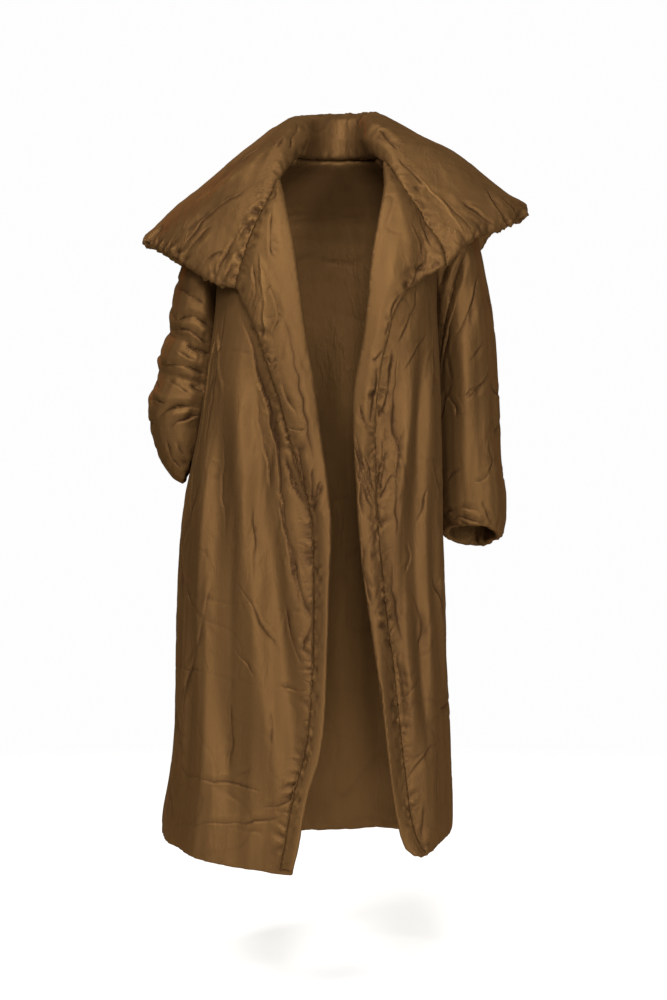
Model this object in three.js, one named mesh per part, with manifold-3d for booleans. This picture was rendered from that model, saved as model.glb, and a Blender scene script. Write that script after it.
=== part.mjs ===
// A long, wide padded coat with a cape collar, worn open, with nobody in it: a hollow garment in the pose
// that wearing gives it. The right hand would be in the side pocket and the left arm hangs.
// Millimetres. +X is the wearer's left, +Y the back, +Z up. The origin is the middle of the neckline,
// level with the shoulders, where the neck and shoulders of a wearer hold the coat up.
import * as THREE from "three";
import { mergeVertices } from "three/addons/utils/BufferGeometryUtils.js";
import Module from "manifold-3d";

const wasm = await Module();
wasm.setup();

// Driving dimensions
const BODY_WALL = 14;
const SLEEVE_WALL = 12;
const FACING_WALL = 13;
const COLLAR_WALL = 22;
const SEAM_GAP = 0.3;
const GORGE_GAP = 1;
const SIDE_SEAM_Y = -26;
const NECK = { x: -5, y: 14, halfWidth: 74, halfDepth: 64, top: 60 };
const FRONT_STEPS = 30;
const BACK_STEPS = 22;
const SLEEVE_STEPS = 22;
// The farthest that two of a sleeve's rings lie apart, and how square its section is (1 is an ellipse).
const SLEEVE_STEP = 58;
const SLEEVE_SQUARE = 0.88;
const FACING_STEPS = 4;
// The facing's least distance from the panel, and the share of the front's width that it follows.
const FACING_STAND = 2;
const FLAT_SHARE = 0.86;
const COLLAR_STEPS = 13;
const COLLAR_RIBS = 46;
// How much of the collar's wall its rounded edge gives up on each side, from the outermost row inwards.
const COLLAR_EDGE = [0.15, 0.03, 0];

const table = (columns, rows) =>
  rows.map((row) => Object.fromEntries(columns.split(" ").map((name, i) => [name, row[i]])));

// The body's level sections: how far the cloth's outside reaches to each side, to the front and to the
// back, where its widest points lie in depth, and how square the section is (2 is an ellipse).
const BODY = table("z left right front back mid square", [
  [-1314, -338, 213, -250, 254, -5, 2.5],
  [-1262, -331, 211, -246, 249, -8, 2.5],
  [-1210, -323, 209, -241, 243, -12, 2.5],
  [-1150, -315, 206, -235, 237, -16, 2.6],
  [-1080, -310, 202, -228, 229, -20, 2.6],
  [-1000, -308, 199, -221, 221, -24, 2.6],
  [-920, -308, 198, -215, 213, -28, 2.6],
  [-840, -306, 197, -210, 205, -32, 2.7],
  [-760, -302, 194, -205, 198, -36, 2.7],
  [-690, -297, 190, -201, 192, -40, 2.7],
  [-630, -290, 188, -197, 187, -42, 2.7],
  [-580, -280, 187, -194, 183, -42, 2.8],
  [-530, -270, 186, -191, 179, -42, 2.8],
  [-480, -262, 185, -189, 176, -40, 2.8],
  [-430, -255, 184, -187, 174, -38, 2.8],
  [-380, -248, 183, -185, 172, -35, 2.8],
  [-330, -240, 181, -183, 171, -30, 2.8],
  [-280, -234, 179, -180, 171, -20, 2.8],
  [-235, -232, 181, -175, 170, -8, 2.8],
  [-190, -233, 185, -168, 168, 2, 2.7],
  [-145, -233, 188, -157, 164, 8, 2.6],
  [-105, -229, 187, -142, 157, 10, 2.5],
  [-75, -218, 180, -124, 146, 10, 2.4],
  [-50, -197, 163, -104, 133, 10, 2.3],
  [-28, -163, 134, -84, 119, 10, 2.2],
  [-10, -122, 104, -66, 103, 12, 2.2],
  [4, -86, 76, -50, 88, 14, 2.1],
]);
// How far the hem rises at each side, how late towards the side it does so, and where the cloth is level again.
const HEM_RISE = { left: 60, leftPower: 4, right: 42, rightPower: 2, top: -900, low: -1314 };

// Large soft folds of the body, as angles round it from the wearer's left (0) by the back (90), the
// wearer's right (180) and the front (270). A positive depth stands out, a negative one goes in.
const BODY_FOLDS = table("topAngle lowAngle topZ lowZ spread depth", [
  [221, 230, -330, -1340, 8, 9],
  [236, 246, -420, -1340, 7, -9],
  [243, 258, -330, -860, 4.5, -8],
  [205, 212, -560, -1340, 8, -6],
  [297, 291, -330, -1340, 6, 8],
  [308, 305, -420, -1340, 6, -8],
  [320, 322, -500, -1340, 7, 6],
  [345, 345, -300, -1340, 7, 4],
  [60, 58, -420, -1400, 10, 9],
  [78, 76, -300, -1400, 8, -8],
  [95, 96, -420, -1400, 9, 9],
  [113, 116, -300, -1400, 9, -9],
  [131, 136, -520, -1400, 10, 9],
  [36, 34, -620, -1400, 9, -8],
  [16, 14, -820, -1400, 8, 7],
  [160, 162, -820, -1400, 9, 7],
]);
// Where a hanging or bent arm presses the cloth in.
const ARM_PRESSES = table("angle z spread height depth", [
  [158, -440, 22, 130, -46],
  [17, -470, 13, 230, -24],
]);

// The opening's two edges, from the hem up: the fold where the facing turns outwards, and the facing's
// outer edge, which is the lapel's from the notch (the widest row) up to where it meets the neck.
const EDGE_RIGHT = table("z fold outer stand", [
  [-1345, -88, -111, 0],
  [-1300, -85, -108, 0],
  [-1260, -77, -101, 0],
  [-1210, -68, -93, 0],
  [-1160, -57, -83, 0],
  [-1110, -40, -68, 0],
  [-1060, -31, -59, 0],
  [-1000, -26, -52, 0],
  [-930, -23, -48, 0],
  [-860, -21, -48, 0],
  [-790, -19, -48, 0],
  [-730, -16, -50, 0],
  [-670, -17, -54, 1],
  [-620, -22, -64, 2],
  [-570, -27, -82, 4],
  [-510, -36, -96, 6],
  [-450, -45, -111, 8],
  [-390, -53, -131, 10],
  [-340, -61, -147, 8],
  [-292, -68, -168, 9],
  [-247, -74, -190, 10],
  [-205, -80, -180, 8],
  [-158, -87, -167, 6],
  [-111, -98, -147, 3],
  [-74, -106, -127, 2],
  [-46, -113, -118, 0],
]);
const EDGE_LEFT = table("z fold outer stand", [
  [-1345, 190, 206, 0],
  [-1302, 158, 178, 0],
  [-1291, 136, 160, 0],
  [-1276, 122, 148, 0],
  [-1250, 112, 138, 0],
  [-1210, 103, 129, 0],
  [-1152, 94, 122, 0],
  [-1098, 87, 115, 0],
  [-1030, 79, 107, 0],
  [-960, 70, 99, 0],
  [-890, 61, 91, 0],
  [-820, 51, 84, 0],
  [-760, 43, 79, 0],
  [-700, 37, 73, 0],
  [-640, 32, 67, 0],
  [-580, 28, 66, 0],
  [-520, 26, 64, 0],
  [-463, 25, 65, 2],
  [-420, 28, 70, 4],
  [-375, 36, 76, 6],
  [-335, 43, 87, 8],
  [-300, 47, 95, 9],
  [-262, 52, 116, 10],
  [-238, 54, 141, 13],
  [-218, 56, 174, 17],
  [-206, 58, 192, 20],
  [-170, 64, 184, 16],
  [-131, 71, 161, 11],
  [-95, 78, 138, 7],
  [-60, 84, 115, 4],
  [-28, 84, 98, 1],
  [-10, 83, 88, 0],
]);

// Above this height the facing is the lapel.
const LAPEL_Z = -350;

// The sleeves' rings, from inside the body to the cuff: the side next to the body, the outer side, the
// front and back in depth, and how much higher the front of the ring is than its back.
const SLEEVE_COLUMNS = "innerX innerZ outerX outerZ front back frontLift";
const SLEEVE_LEFT = table(SLEEVE_COLUMNS, [
  [110, -252, 110, -92, -72, 78, 0],
  [150, -256, 158, -84, -76, 84, 0],
  [170, -264, 204, -84, -76, 92, 2],
  [175, -277, 236, -102, -74, 97, 4],
  [178, -298, 256, -140, -72, 102, 6],
  [179, -326, 268, -190, -70, 106, 8],
  [180, -360, 279, -246, -68, 109, 10],
  [181, -398, 288, -308, -66, 112, 14],
  [182, -442, 294, -372, -64, 114, 18],
  [183, -492, 297, -440, -62, 116, 22],
  [184, -545, 300, -508, -60, 118, 28],
  [186, -600, 305, -574, -58, 119, 36],
  [188, -655, 314, -636, -56, 120, 44],
  [191, -688, 314, -682, -54, 119, 47],
  [197, -708, 308, -716, -51, 116, 48],
]);
const SLEEVE_RIGHT = table(SLEEVE_COLUMNS, [
  [-150, -258, -150, -104, -60, 88, 0],
  [-204, -262, -208, -100, -62, 94, 0],
  [-225, -272, -250, -106, -62, 100, 0],
  [-231, -288, -276, -134, -64, 106, 0],
  [-230, -306, -289, -170, -66, 110, 0],
  [-226, -326, -302, -214, -68, 114, 0],
  [-220, -348, -313, -256, -70, 118, 0],
  [-217, -368, -322, -296, -68, 120, 0],
  [-216, -386, -320, -322, -60, 114, 0],
  [-215, -404, -333, -350, -67, 122, 0],
  [-215, -421, -345, -380, -66, 124, 0],
  [-216, -437, -341, -400, -58, 118, 2],
  [-218, -452, -349, -426, -66, 124, 6],
  [-222, -466, -362, -452, -66, 122, 10],
  [-228, -479, -363, -482, -64, 114, 14],
  [-237, -487, -357, -514, -62, 102, 16],
  [-245, -493, -347, -548, -60, 88, 14],
  [-250, -498, -333, -580, -58, 74, 10],
  [-254, -503, -316, -603, -54, 62, 6],
  [-256, -508, -298, -616, -48, 54, 2],
]);

// The collar's ribs, from the right front's notch round the neck to the left front's. Each runs from the
// neckline or the gorge seam over the stand and the roll, down the fall to the outer edge.
const COLLAR = table("bx by bz sx sy sz rx ry rz fx fy fz ex ey ez", [
  [-190, -165, -247, -224, -156, -242, -258, -136, -225, -314, -92, -187, -369, -38, -149],
  [-179, -162, -200, -212, -138, -174, -246, -112, -152, -310, -54, -124, -374, 22, -143],
  [-161, -155, -142, -190, -120, -102, -222, -82, -78, -298, 0, -82, -367, 84, -152],
  [-138, -138, -94, -160, -92, -46, -192, -42, -14, -276, 54, -63, -334, 144, -172],
  [-104, -82, -30, -110, -52, 22, -134, -8, 42, -224, 96, -26, -280, 194, -202],
  [-74, -18, 0, -60, 2, 48, -80, 26, 84, -154, 128, 14, -196, 214, -230],
  [-50, 44, 2, -44, 54, 56, -52, 74, 96, -86, 158, 20, -106, 220, -250],
  [-4, 72, 4, -4, 78, 58, -4, 98, 100, -4, 176, 20, -4, 222, -258],
  [42, 44, 2, 34, 54, 58, 42, 74, 98, 78, 158, 24, 98, 220, -250],
  [64, -18, 0, 45, 2, 52, 66, 26, 88, 148, 128, 24, 186, 214, -224],
  [84, -54, -12, 88, -34, 32, 130, -4, 48, 220, 92, -10, 254, 200, -180],
  [118, -108, -66, 134, -74, -24, 184, -26, 18, 280, 52, -43, 306, 146, -114],
  [146, -124, -112, 172, -98, -76, 222, -58, -29, 308, 0, -62, 341, 88, -90],
  [173, -132, -155, 206, -118, -128, 250, -90, -96, 316, -50, -84, 355, 26, -80],
  [195, -142, -208, 230, -130, -168, 264, -106, -150, 312, -68, -134, 355, -26, -100],
]);
// Soft folds of the collar's fall, as a share of the way round the neck, deepest at the outer edge.
const COLLAR_FOLDS = table("share spread depth", [
  [0.24, 0.03, -8],
  [0.33, 0.03, 8],
  [0.405, 0.028, -7],
  [0.47, 0.03, 7],
  [0.535, 0.028, -8],
  [0.6, 0.03, 8],
  [0.68, 0.028, -8],
  [0.76, 0.03, 6],
]);

// The in-seam pockets' mouths, one in each side seam.
const POCKET = { topZ: -470, lowZ: -640, mouth: 7, reach: 7 };

// Farther out than any of the cloth, for what cuts right through.
const FAR = 700;
// How far a hollow's solid runs on past the wall that it opens.
const RUN_OUT = 30;

const radians = THREE.MathUtils.degToRad;
const clamp = THREE.MathUtils.clamp;
const bell = (t) => Math.exp(-t * t);
const smooth = (t) => THREE.MathUtils.smoothstep(t, 0, 1);
const point = (x, y, z) => new THREE.Vector3(x, y, z);

// A smooth curve through a table's column, with the key column rising or falling.
function through(rows, key, column) {
  const slope = (i) => {
    const low = rows[Math.max(i - 1, 0)];
    const high = rows[Math.min(i + 1, rows.length - 1)];
    return (high[column] - low[column]) / (high[key] - low[key]);
  };
  const rising = rows[rows.length - 1][key] > rows[0][key];
  return (at) => {
    let i = rows.findIndex((row) => (rising ? row[key] > at : row[key] < at)) - 1;
    if (i === -2) i = rows.length - 2;
    i = Math.max(i, 0);
    const [a, b] = [rows[i], rows[i + 1]];
    const span = b[key] - a[key];
    const t = clamp((at - a[key]) / span, 0, 1);
    const [t2, t3] = [t * t, t * t * t];
    return (
      (2 * t3 - 3 * t2 + 1) * a[column] +
      (t3 - 2 * t2 + t) * span * slope(i) +
      (3 * t2 - 2 * t3) * b[column] +
      (t3 - t2) * span * slope(i + 1)
    );
  };
}

// A table with a row added halfway between each two that lie above a height.
function finer(rows, key, above) {
  const names = Object.keys(rows[0]).filter((name) => name !== key);
  const curves = Object.fromEntries(names.map((name) => [name, through(rows, key, name)]));
  return rows.flatMap((row, i) => {
    if (i + 1 === rows.length || row[key] < above) return [row];
    const middle = (row[key] + rows[i + 1][key]) / 2;
    return [row, { [key]: middle, ...Object.fromEntries(names.map((name) => [name, curves[name](middle)])) }];
  });
}

const section = Object.fromEntries(
  ["left", "right", "front", "back", "mid", "square"].map((name) => [name, through(BODY, "z", name)]),
);

// How far the cloth stands out of its plain section, from folds and from the arms' pressure.
function drape(degrees, z) {
  let out = 0;
  for (const fold of BODY_FOLDS) {
    const along = clamp((fold.topZ - z) / (fold.topZ - fold.lowZ), 0, 1);
    if (along <= 0) continue;
    const angle = fold.topAngle + (fold.lowAngle - fold.topAngle) * along;
    out += fold.depth * smooth(along * 3) * bell((degrees - angle) / fold.spread);
  }
  for (const press of ARM_PRESSES) {
    out += press.depth * bell((degrees - press.angle) / press.spread) * bell((z - press.z) / press.height);
  }
  return out;
}

// The body's outer surface at a level and an angle, without its normal.
function bodyPoint(degrees, z) {
  const angle = radians(degrees);
  const [c, s] = [Math.cos(angle), Math.sin(angle)];
  const power = 2 / section.square(z);
  const middle = (section.left(z) + section.right(z)) / 2;
  const half = (section.right(z) - section.left(z)) / 2;
  const depth = s > 0 ? section.back(z) - section.mid(z) : section.mid(z) - section.front(z);
  const out = drape(degrees, z);
  const lift = c > 0 ? HEM_RISE.left * c ** HEM_RISE.leftPower : HEM_RISE.right * c ** HEM_RISE.rightPower;
  const rise = lift * smooth((HEM_RISE.top - z) / (HEM_RISE.top - HEM_RISE.low));
  return point(
    middle + Math.sign(c) * Math.abs(c) ** power * half + c * out,
    section.mid(z) + Math.sign(s) * Math.abs(s) ** power * depth + s * out,
    z + rise,
  );
}

const BODY_ANGLES = [
  ...Array.from({ length: BACK_STEPS }, (_, i) => (180 * i) / BACK_STEPS),
  ...Array.from({ length: FRONT_STEPS }, (_, i) => 180 + (180 * i) / FRONT_STEPS),
];

// Rings moved along the surface's normal by a distance, inwards if it is negative.
function offsetRings(rings, distance) {
  const around = rings[0].length;
  return rings.map((ring, k) =>
    ring.map((p, j) => {
      const across = ring[(j + 1) % around].clone().sub(ring[(j + around - 1) % around]);
      const up = rings[Math.min(k + 1, rings.length - 1)][j].clone().sub(rings[Math.max(k - 1, 0)][j]);
      const normal = across.cross(up).normalize();
      return p.clone().addScaledVector(normal, distance);
    }),
  );
}

// The two ends of a stack of rings, carried on past it.
function extendRings(rings, first, last) {
  const carry = (ring, next, length) =>
    ring.map((p, j) => p.clone().addScaledVector(p.clone().sub(next[j]).normalize(), length));
  const middle = (ring) => ring.reduce((sum, p) => sum.add(p), point(0, 0, 0)).divideScalar(ring.length);
  const shift = (ring, next, length) => {
    const step = middle(ring).sub(middle(next)).normalize().multiplyScalar(length);
    return ring.map((p) => p.clone().add(step));
  };
  const result = [...rings];
  if (first) result.unshift(shift(rings[0], rings[1], first));
  if (last) result.push(carry(rings[rings.length - 1], rings[rings.length - 2], last));
  return result;
}

// A closed solid from corner points and triangles, turned so that its faces point out.
function solidFrom(points, triangles) {
  const geometry = new THREE.BufferGeometry();
  geometry.setAttribute("position", new THREE.Float32BufferAttribute(points.flatMap((p) => p.toArray()), 3));
  geometry.setIndex(triangles);
  const merged = mergeVertices(geometry, 1e-4);
  const build = (triVerts) =>
    new wasm.Manifold(new wasm.Mesh({ numProp: 3, vertProperties: merged.attributes.position.array, triVerts }));
  const made = build(new Uint32Array(merged.index.array));
  if (made.volume() > 0) return made;
  return build(new Uint32Array(merged.index.array).reverse());
}

// A tube's solid through closed rings, with a flat fan at each end.
function ringSolid(rings) {
  const around = rings[0].length;
  const points = rings.flat();
  const triangles = [];
  for (let k = 0; k + 1 < rings.length; k += 1) {
    for (let j = 0; j < around; j += 1) {
      const next = (j + 1) % around;
      const [a, b] = [k * around + j, k * around + next];
      triangles.push(a, b, b + around, a, b + around, a + around);
    }
  }
  const centre = (ring) => ring.reduce((sum, p) => sum.add(p), point(0, 0, 0)).divideScalar(around);
  const low = points.push(centre(rings[0])) - 1;
  const high = points.push(centre(rings[rings.length - 1])) - 1;
  const top = (rings.length - 1) * around;
  for (let j = 0; j < around; j += 1) {
    const next = (j + 1) % around;
    triangles.push(low, next, j, high, top + j, top + next);
  }
  return solidFrom(points, triangles);
}

// A pad's solid between an upper and a lower grid of points, closed round its edges.
function padSolid(upper, lower) {
  const [rows, columns] = [upper.length, upper[0].length];
  const points = [...upper.flat(), ...lower.flat()];
  const under = rows * columns;
  const at = (i, j) => i * columns + j;
  const triangles = [];
  const quad = (a, b, c, d) => triangles.push(a, b, c, a, c, d);
  for (let i = 0; i + 1 < rows; i += 1) {
    for (let j = 0; j + 1 < columns; j += 1) {
      const [a, b, c, d] = [at(i, j), at(i, j + 1), at(i + 1, j + 1), at(i + 1, j)];
      quad(a, b, c, d);
      quad(under + d, under + c, under + b, under + a);
    }
    quad(at(i, 0), at(i + 1, 0), under + at(i + 1, 0), under + at(i, 0));
    const last = columns - 1;
    quad(at(i + 1, last), at(i, last), under + at(i, last), under + at(i + 1, last));
  }
  for (let j = 0; j + 1 < columns; j += 1) {
    quad(at(0, j + 1), at(0, j), under + at(0, j), under + at(0, j + 1));
    const last = rows - 1;
    quad(at(last, j), at(last, j + 1), under + at(last, j + 1), under + at(last, j));
  }
  return solidFrom(points, triangles);
}

// A grid moved along its own normal by a distance given for each of its points.
function offsetGrid(grid, distance) {
  const [rows, columns] = [grid.length, grid[0].length];
  return grid.map((row, i) =>
    row.map((p, j) => {
      const [k, m] = [clamp(i, 1, rows - 2), clamp(j, 1, columns - 2)];
      const along = grid[k + 1][m].clone().sub(grid[k - 1][m]);
      const across = grid[k][m + 1].clone().sub(grid[k][m - 1]);
      return p.clone().addScaledVector(along.cross(across).normalize(), distance(i, j));
    }),
  );
}

function boxSolid(low, high) {
  const size = [0, 1, 2].map((i) => high[i] - low[i]);
  const geometry = new THREE.BoxGeometry(...size);
  geometry.translate(...low.map((value, i) => value + size[i] / 2));
  return geometrySolid(geometry);
}

function geometrySolid(geometry) {
  geometry.deleteAttribute("normal");
  geometry.deleteAttribute("uv");
  const merged = mergeVertices(geometry, 1e-4);
  const points = [];
  const position = merged.attributes.position;
  for (let i = 0; i < position.count; i += 1) points.push(new THREE.Vector3().fromBufferAttribute(position, i));
  return solidFrom(points, [...merged.index.array]);
}

// A straight-sided cutter with an outline seen from the front, between two depths.
function frontCutter(outline, nearY, farY) {
  const shape = new THREE.Shape(outline.map(([x, z]) => new THREE.Vector2(x, z)));
  const geometry = new THREE.ExtrudeGeometry(shape, { depth: farY - nearY, bevelEnabled: false });
  geometry.rotateX(Math.PI / 2);
  geometry.translate(0, farY, 0);
  return geometrySolid(geometry);
}

function bodyRings() {
  return BODY.map((row) => BODY_ANGLES.map((angle) => bodyPoint(angle, row.z)));
}

// The whole body as one hollow: outside, inside carried on past the hem, and open at the neck and front.
function hollowBody(rings) {
  const inside = extendRings(offsetRings(rings, -BODY_WALL), RUN_OUT, 0);
  const neck = new THREE.CylinderGeometry(1, 1, 400, 28);
  neck.rotateX(Math.PI / 2);
  neck.scale(NECK.halfWidth, NECK.halfDepth, 1);
  neck.translate(NECK.x, NECK.y, NECK.top);
  const edges = [
    ...EDGE_RIGHT.map((row) => [row.fold, row.z]),
    [NECK.x - NECK.halfWidth - 19, -16],
    [NECK.x - NECK.halfWidth + 3, NECK.top],
    [NECK.x + NECK.halfWidth - 3, NECK.top],
    ...EDGE_LEFT.toReversed().map((row) => [row.fold, row.z]),
  ];
  return ringSolid(rings)
    .subtract(ringSolid(inside))
    .subtract(geometrySolid(neck))
    .subtract(frontCutter(edges, -FAR, 0));
}

// The mouth of an in-seam pocket: a slit let into the wall along the side seam.
function pocketMouth(side) {
  const middle = (POCKET.topZ + POCKET.lowZ) / 2;
  const half = (POCKET.topZ - POCKET.lowZ) / 2;
  const reach = bodyPoint(side > 0 ? 352 : 188, middle);
  const slit = new THREE.SphereGeometry(1, 12, 8);
  slit.scale(POCKET.reach, POCKET.mouth, half);
  slit.translate(reach.x, SIDE_SEAM_Y, middle);
  return geometrySolid(slit);
}

function sleeveRings(rows) {
  const fine = [];
  const columns = SLEEVE_COLUMNS.split(" ");
  rows.forEach((row, i) => {
    fine.push(row);
    if (i === 0 || i + 1 === rows.length) return;
    const next = rows[i + 1];
    if (Math.hypot(next.outerX - row.outerX, next.outerZ - row.outerZ) < SLEEVE_STEP) return;
    fine.push(Object.fromEntries(columns.map((name) => [name, (row[name] + next[name]) / 2])));
  });
  return fine.map((row) =>
    Array.from({ length: SLEEVE_STEPS }, (_, j) => {
      const angle = (2 * Math.PI * j) / SLEEVE_STEPS;
      const round = (v) => Math.sign(v) * Math.abs(v) ** SLEEVE_SQUARE;
      const [c, s] = [round(Math.cos(angle)), round(Math.sin(angle))];
      return point(
        (row.innerX + row.outerX) / 2 + (c * (row.outerX - row.innerX)) / 2,
        (row.front + row.back) / 2 + (s * (row.back - row.front)) / 2,
        (row.innerZ + row.outerZ) / 2 + (c * (row.outerZ - row.innerZ)) / 2 - (s * row.frontLift) / 2,
      );
    }),
  );
}

// Rings run from the body to the cuff, so the normal's side follows which arm it is.
function sleeveParts(rows, side) {
  const rings = sleeveRings(rows);
  const inner = offsetRings(rings, side * SLEEVE_WALL);
  return {
    outside: ringSolid(rings),
    hollow: ringSolid(extendRings(inner, RUN_OUT, RUN_OUT)),
    armhole: ringSolid(extendRings(inner.slice(0, 4), RUN_OUT, 0)),
  };
}

// The depth of the body's front at a place seen from the front, held level past the panel's flat part.
function frontDepth(x, z) {
  const middle = (section.left(z) + section.right(z)) / 2;
  const half = (section.right(z) - section.left(z)) / 2;
  const place = clamp(x, middle - FLAT_SHARE * half, middle + FLAT_SHARE * half);
  let level = z;
  let [low, high] = [182, 358];
  for (let i = 0; i < 40; i += 1) {
    const angle = (low + high) / 2;
    const p = bodyPoint(angle, level);
    if (p.x < place) low = angle;
    else high = angle;
    level += (z - p.z) / 2;
  }
  return bodyPoint((low + high) / 2, level).y;
}

// A facing: the strip turned out along the opening, which widens into the lapel. For a cut it is grown
// sideways and forwards, and reaches back into the panel.
function facingSolid(rows, side, grown, deep) {
  const inner = finer(rows, "z", LAPEL_Z).map((row) =>
    Array.from({ length: FACING_STEPS + 1 }, (_, j) => {
      const share = j / FACING_STEPS;
      const x = row.fold + (row.outer + side * grown - row.fold) * share;
      return point(x, frontDepth(x, row.z) - FACING_STAND - row.stand * share ** 1.5, row.z);
    }),
  );
  const near = inner.map((row) => row.map((p) => p.clone().add(point(0, -FACING_WALL - grown, 0))));
  const far = inner.map((row) => row.map((p) => p.clone().add(point(0, deep, 0))));
  return side > 0 ? padSolid(near, far) : padSolid(far, near);
}

// The collar's top surface, through its ribs in both directions, with its folds.
function collarGrid() {
  const places = COLLAR.map((rib) =>
    ["b", "s", "r", "f", "e"].map((name) => point(rib[name + "x"], rib[name + "y"], rib[name + "z"])),
  );
  const along = places[0].map((_, j) => new THREE.CatmullRomCurve3(places.map((rib) => rib[j]), false, "centripetal"));
  const plain = Array.from({ length: COLLAR_RIBS + 1 }, (_, i) => {
    const rib = along.map((curve) => curve.getPoint(i / COLLAR_RIBS));
    return new THREE.CatmullRomCurve3(rib, false, "centripetal").getSpacedPoints(COLLAR_STEPS);
  });
  return offsetGrid(plain, (i, j) => {
    const folds = COLLAR_FOLDS.map((fold) => fold.depth * bell((i / COLLAR_RIBS - fold.share) / fold.spread));
    return folds.reduce((sum, depth) => sum + depth, 0) * (j / COLLAR_STEPS) ** 1.6;
  });
}

// The collar's padded solid, thinner along its edges than in the middle.
function collarSolid() {
  const top = collarGrid();
  const plump = (i, j) => {
    const ends = Math.min(i, COLLAR_RIBS - i);
    const edge = COLLAR_STEPS - j;
    return COLLAR_EDGE[Math.min(ends, edge, COLLAR_EDGE.length - 1)];
  };
  const upper = offsetGrid(top, (i, j) => -COLLAR_WALL * plump(i, j));
  const lower = offsetGrid(top, (i, j) => -COLLAR_WALL * (1 - plump(i, j)));
  return padSolid(upper, lower);
}

const rings = bodyRings();
const body = hollowBody(rings);
const bodyGrown = ringSolid(extendRings(offsetRings(rings, SEAM_GAP), RUN_OUT, 0));
const aboveHem = ringSolid(offsetRings(rings, 2.5 * RUN_OUT));
const sleeves = { left: sleeveParts(SLEEVE_LEFT, 1), right: sleeveParts(SLEEVE_RIGHT, -1) };
const shell = body
  .subtract(sleeves.left.armhole)
  .subtract(sleeves.right.armhole)
  .subtract(pocketMouth(1))
  .subtract(pocketMouth(-1));

const frontHalf = (low, high) => boxSolid([low, -FAR, -2 * FAR], [high, SIDE_SEAM_Y - SEAM_GAP / 2, FAR]);
const backHalf = boxSolid([-FAR, SIDE_SEAM_Y + SEAM_GAP / 2, -2 * FAR], [FAR, FAR, FAR]);
const facings = {
  right: facingSolid(EDGE_RIGHT, -1, 0, 0).intersect(aboveHem).subtract(bodyGrown),
  left: facingSolid(EDGE_LEFT, 1, 0, 0).intersect(aboveHem).subtract(bodyGrown),
};
const collar = collarSolid()
  .subtract(bodyGrown)
  .subtract(facingSolid(EDGE_RIGHT, -1, GORGE_GAP, RUN_OUT))
  .subtract(facingSolid(EDGE_LEFT, 1, GORGE_GAP, RUN_OUT));

const SHELL_COLOUR = 0x6b4a2a;
const FACING_COLOUR = 0x70502f;
const COLLAR_COLOUR = 0x735231;

const coat = new THREE.Group();

function addPiece(name, solid, colour, roughness, metalness) {
  const mesh = solid.getMesh();
  const geometry = new THREE.BufferGeometry();
  const positions = [];
  for (let i = 0; i < mesh.vertProperties.length; i += mesh.numProp) {
    positions.push(...mesh.vertProperties.slice(i, i + 3));
  }
  geometry.setAttribute("position", new THREE.Float32BufferAttribute(positions, 3));
  geometry.setIndex([...mesh.triVerts]);
  const piece = new THREE.Mesh(geometry, new THREE.MeshStandardMaterial({ color: colour, roughness, metalness }));
  piece.name = name;
  coat.add(piece);
}

addPiece("back", shell.intersect(backHalf), SHELL_COLOUR, 0.5, 0);
addPiece("front_right", shell.intersect(frontHalf(-FAR, 0)), SHELL_COLOUR, 0.5, 0);
addPiece("front_left", shell.intersect(frontHalf(0, FAR)), SHELL_COLOUR, 0.5, 0);
addPiece("facing_right", facings.right, FACING_COLOUR, 0.5, 0);
addPiece("facing_left", facings.left, FACING_COLOUR, 0.5, 0);
addPiece("sleeve_left", sleeves.left.outside.subtract(sleeves.left.hollow).subtract(bodyGrown), SHELL_COLOUR, 0.5, 0);
addPiece("sleeve_right", sleeves.right.outside.subtract(sleeves.right.hollow).subtract(bodyGrown), SHELL_COLOUR, 0.5, 0);
addPiece("collar", collar, COLLAR_COLOUR, 0.5, 0);

export default coat;
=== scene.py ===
"""Dresses the solids of a long padded coat: soft padded panels with listed folds, gathered seams
and a brown satin-faced taffeta.

Blender's own lengths are metres. The tables below are in millimetres, in the solids' frame: +X is the
coat's left, +Y its back, +Z up, and the origin is the middle of the neckline.
"""

import math

import bmesh
import bpy
import numpy as np
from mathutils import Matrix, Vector
from mathutils.bvhtree import BVHTree
from mathutils.kdtree import KDTree


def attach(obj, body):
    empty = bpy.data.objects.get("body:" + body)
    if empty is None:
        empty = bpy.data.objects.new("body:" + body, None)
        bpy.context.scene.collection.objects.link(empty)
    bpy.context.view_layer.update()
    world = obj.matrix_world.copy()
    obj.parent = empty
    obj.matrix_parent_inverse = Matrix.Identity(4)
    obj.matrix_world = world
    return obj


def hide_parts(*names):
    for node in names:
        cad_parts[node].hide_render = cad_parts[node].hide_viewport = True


MM = 1000.0

# The photograph: its focal length, the pixel on the level line of sight, its middle, and its eye point.
FOCAL = 2635.0
LEVEL_PIXEL = (340.0, 390.0)
MIDDLE_PIXEL = (333.5, 500.0)
LONG_SIDE = 1000.0
SENSOR = 36.0
CLIP_END = 200.0
EYE = np.array([0.0, -5000.0, -436.0])
GROUND = -1546.0

# Each piece: the solid's name, and the side of its mesh's squares.
SQUARES = {
    "back": 6.4,
    "front_right": 3.5,
    "front_left": 3.3,
    "facing_right": 2.7,
    "facing_left": 2.7,
    "sleeve_right": 3.3,
    "sleeve_left": 3.5,
    "collar": 3.7,
}
SEED = 41

# Where a fold or crease is seen from. A photo crease is in the photograph's pixels; the others are in
# millimetres: across and up, seen along one axis from outside the coat.
PHOTO, BACK, LEFT, RIGHT = "photo", "back", "left", "right"
OUTSIDE = 900.0
FOLD_STEP = {PHOTO: 1.5, BACK: 3.0, LEFT: 3.0, RIGHT: 3.0}
CURVE_STEPS = 12

# A solid's cut and sewn edges: its sharp ones, in radians, that are at least this long.
WELD = 1e-5
SEWN_ANGLE = 0.8
SHORTEST_RIM = 20.0
RIM_STEP = 3.0
# The gap between one sewn edge and the next, where they are counted as one run.
RIM_GAP = 200.0
FAR_OFF = 1e6

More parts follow.
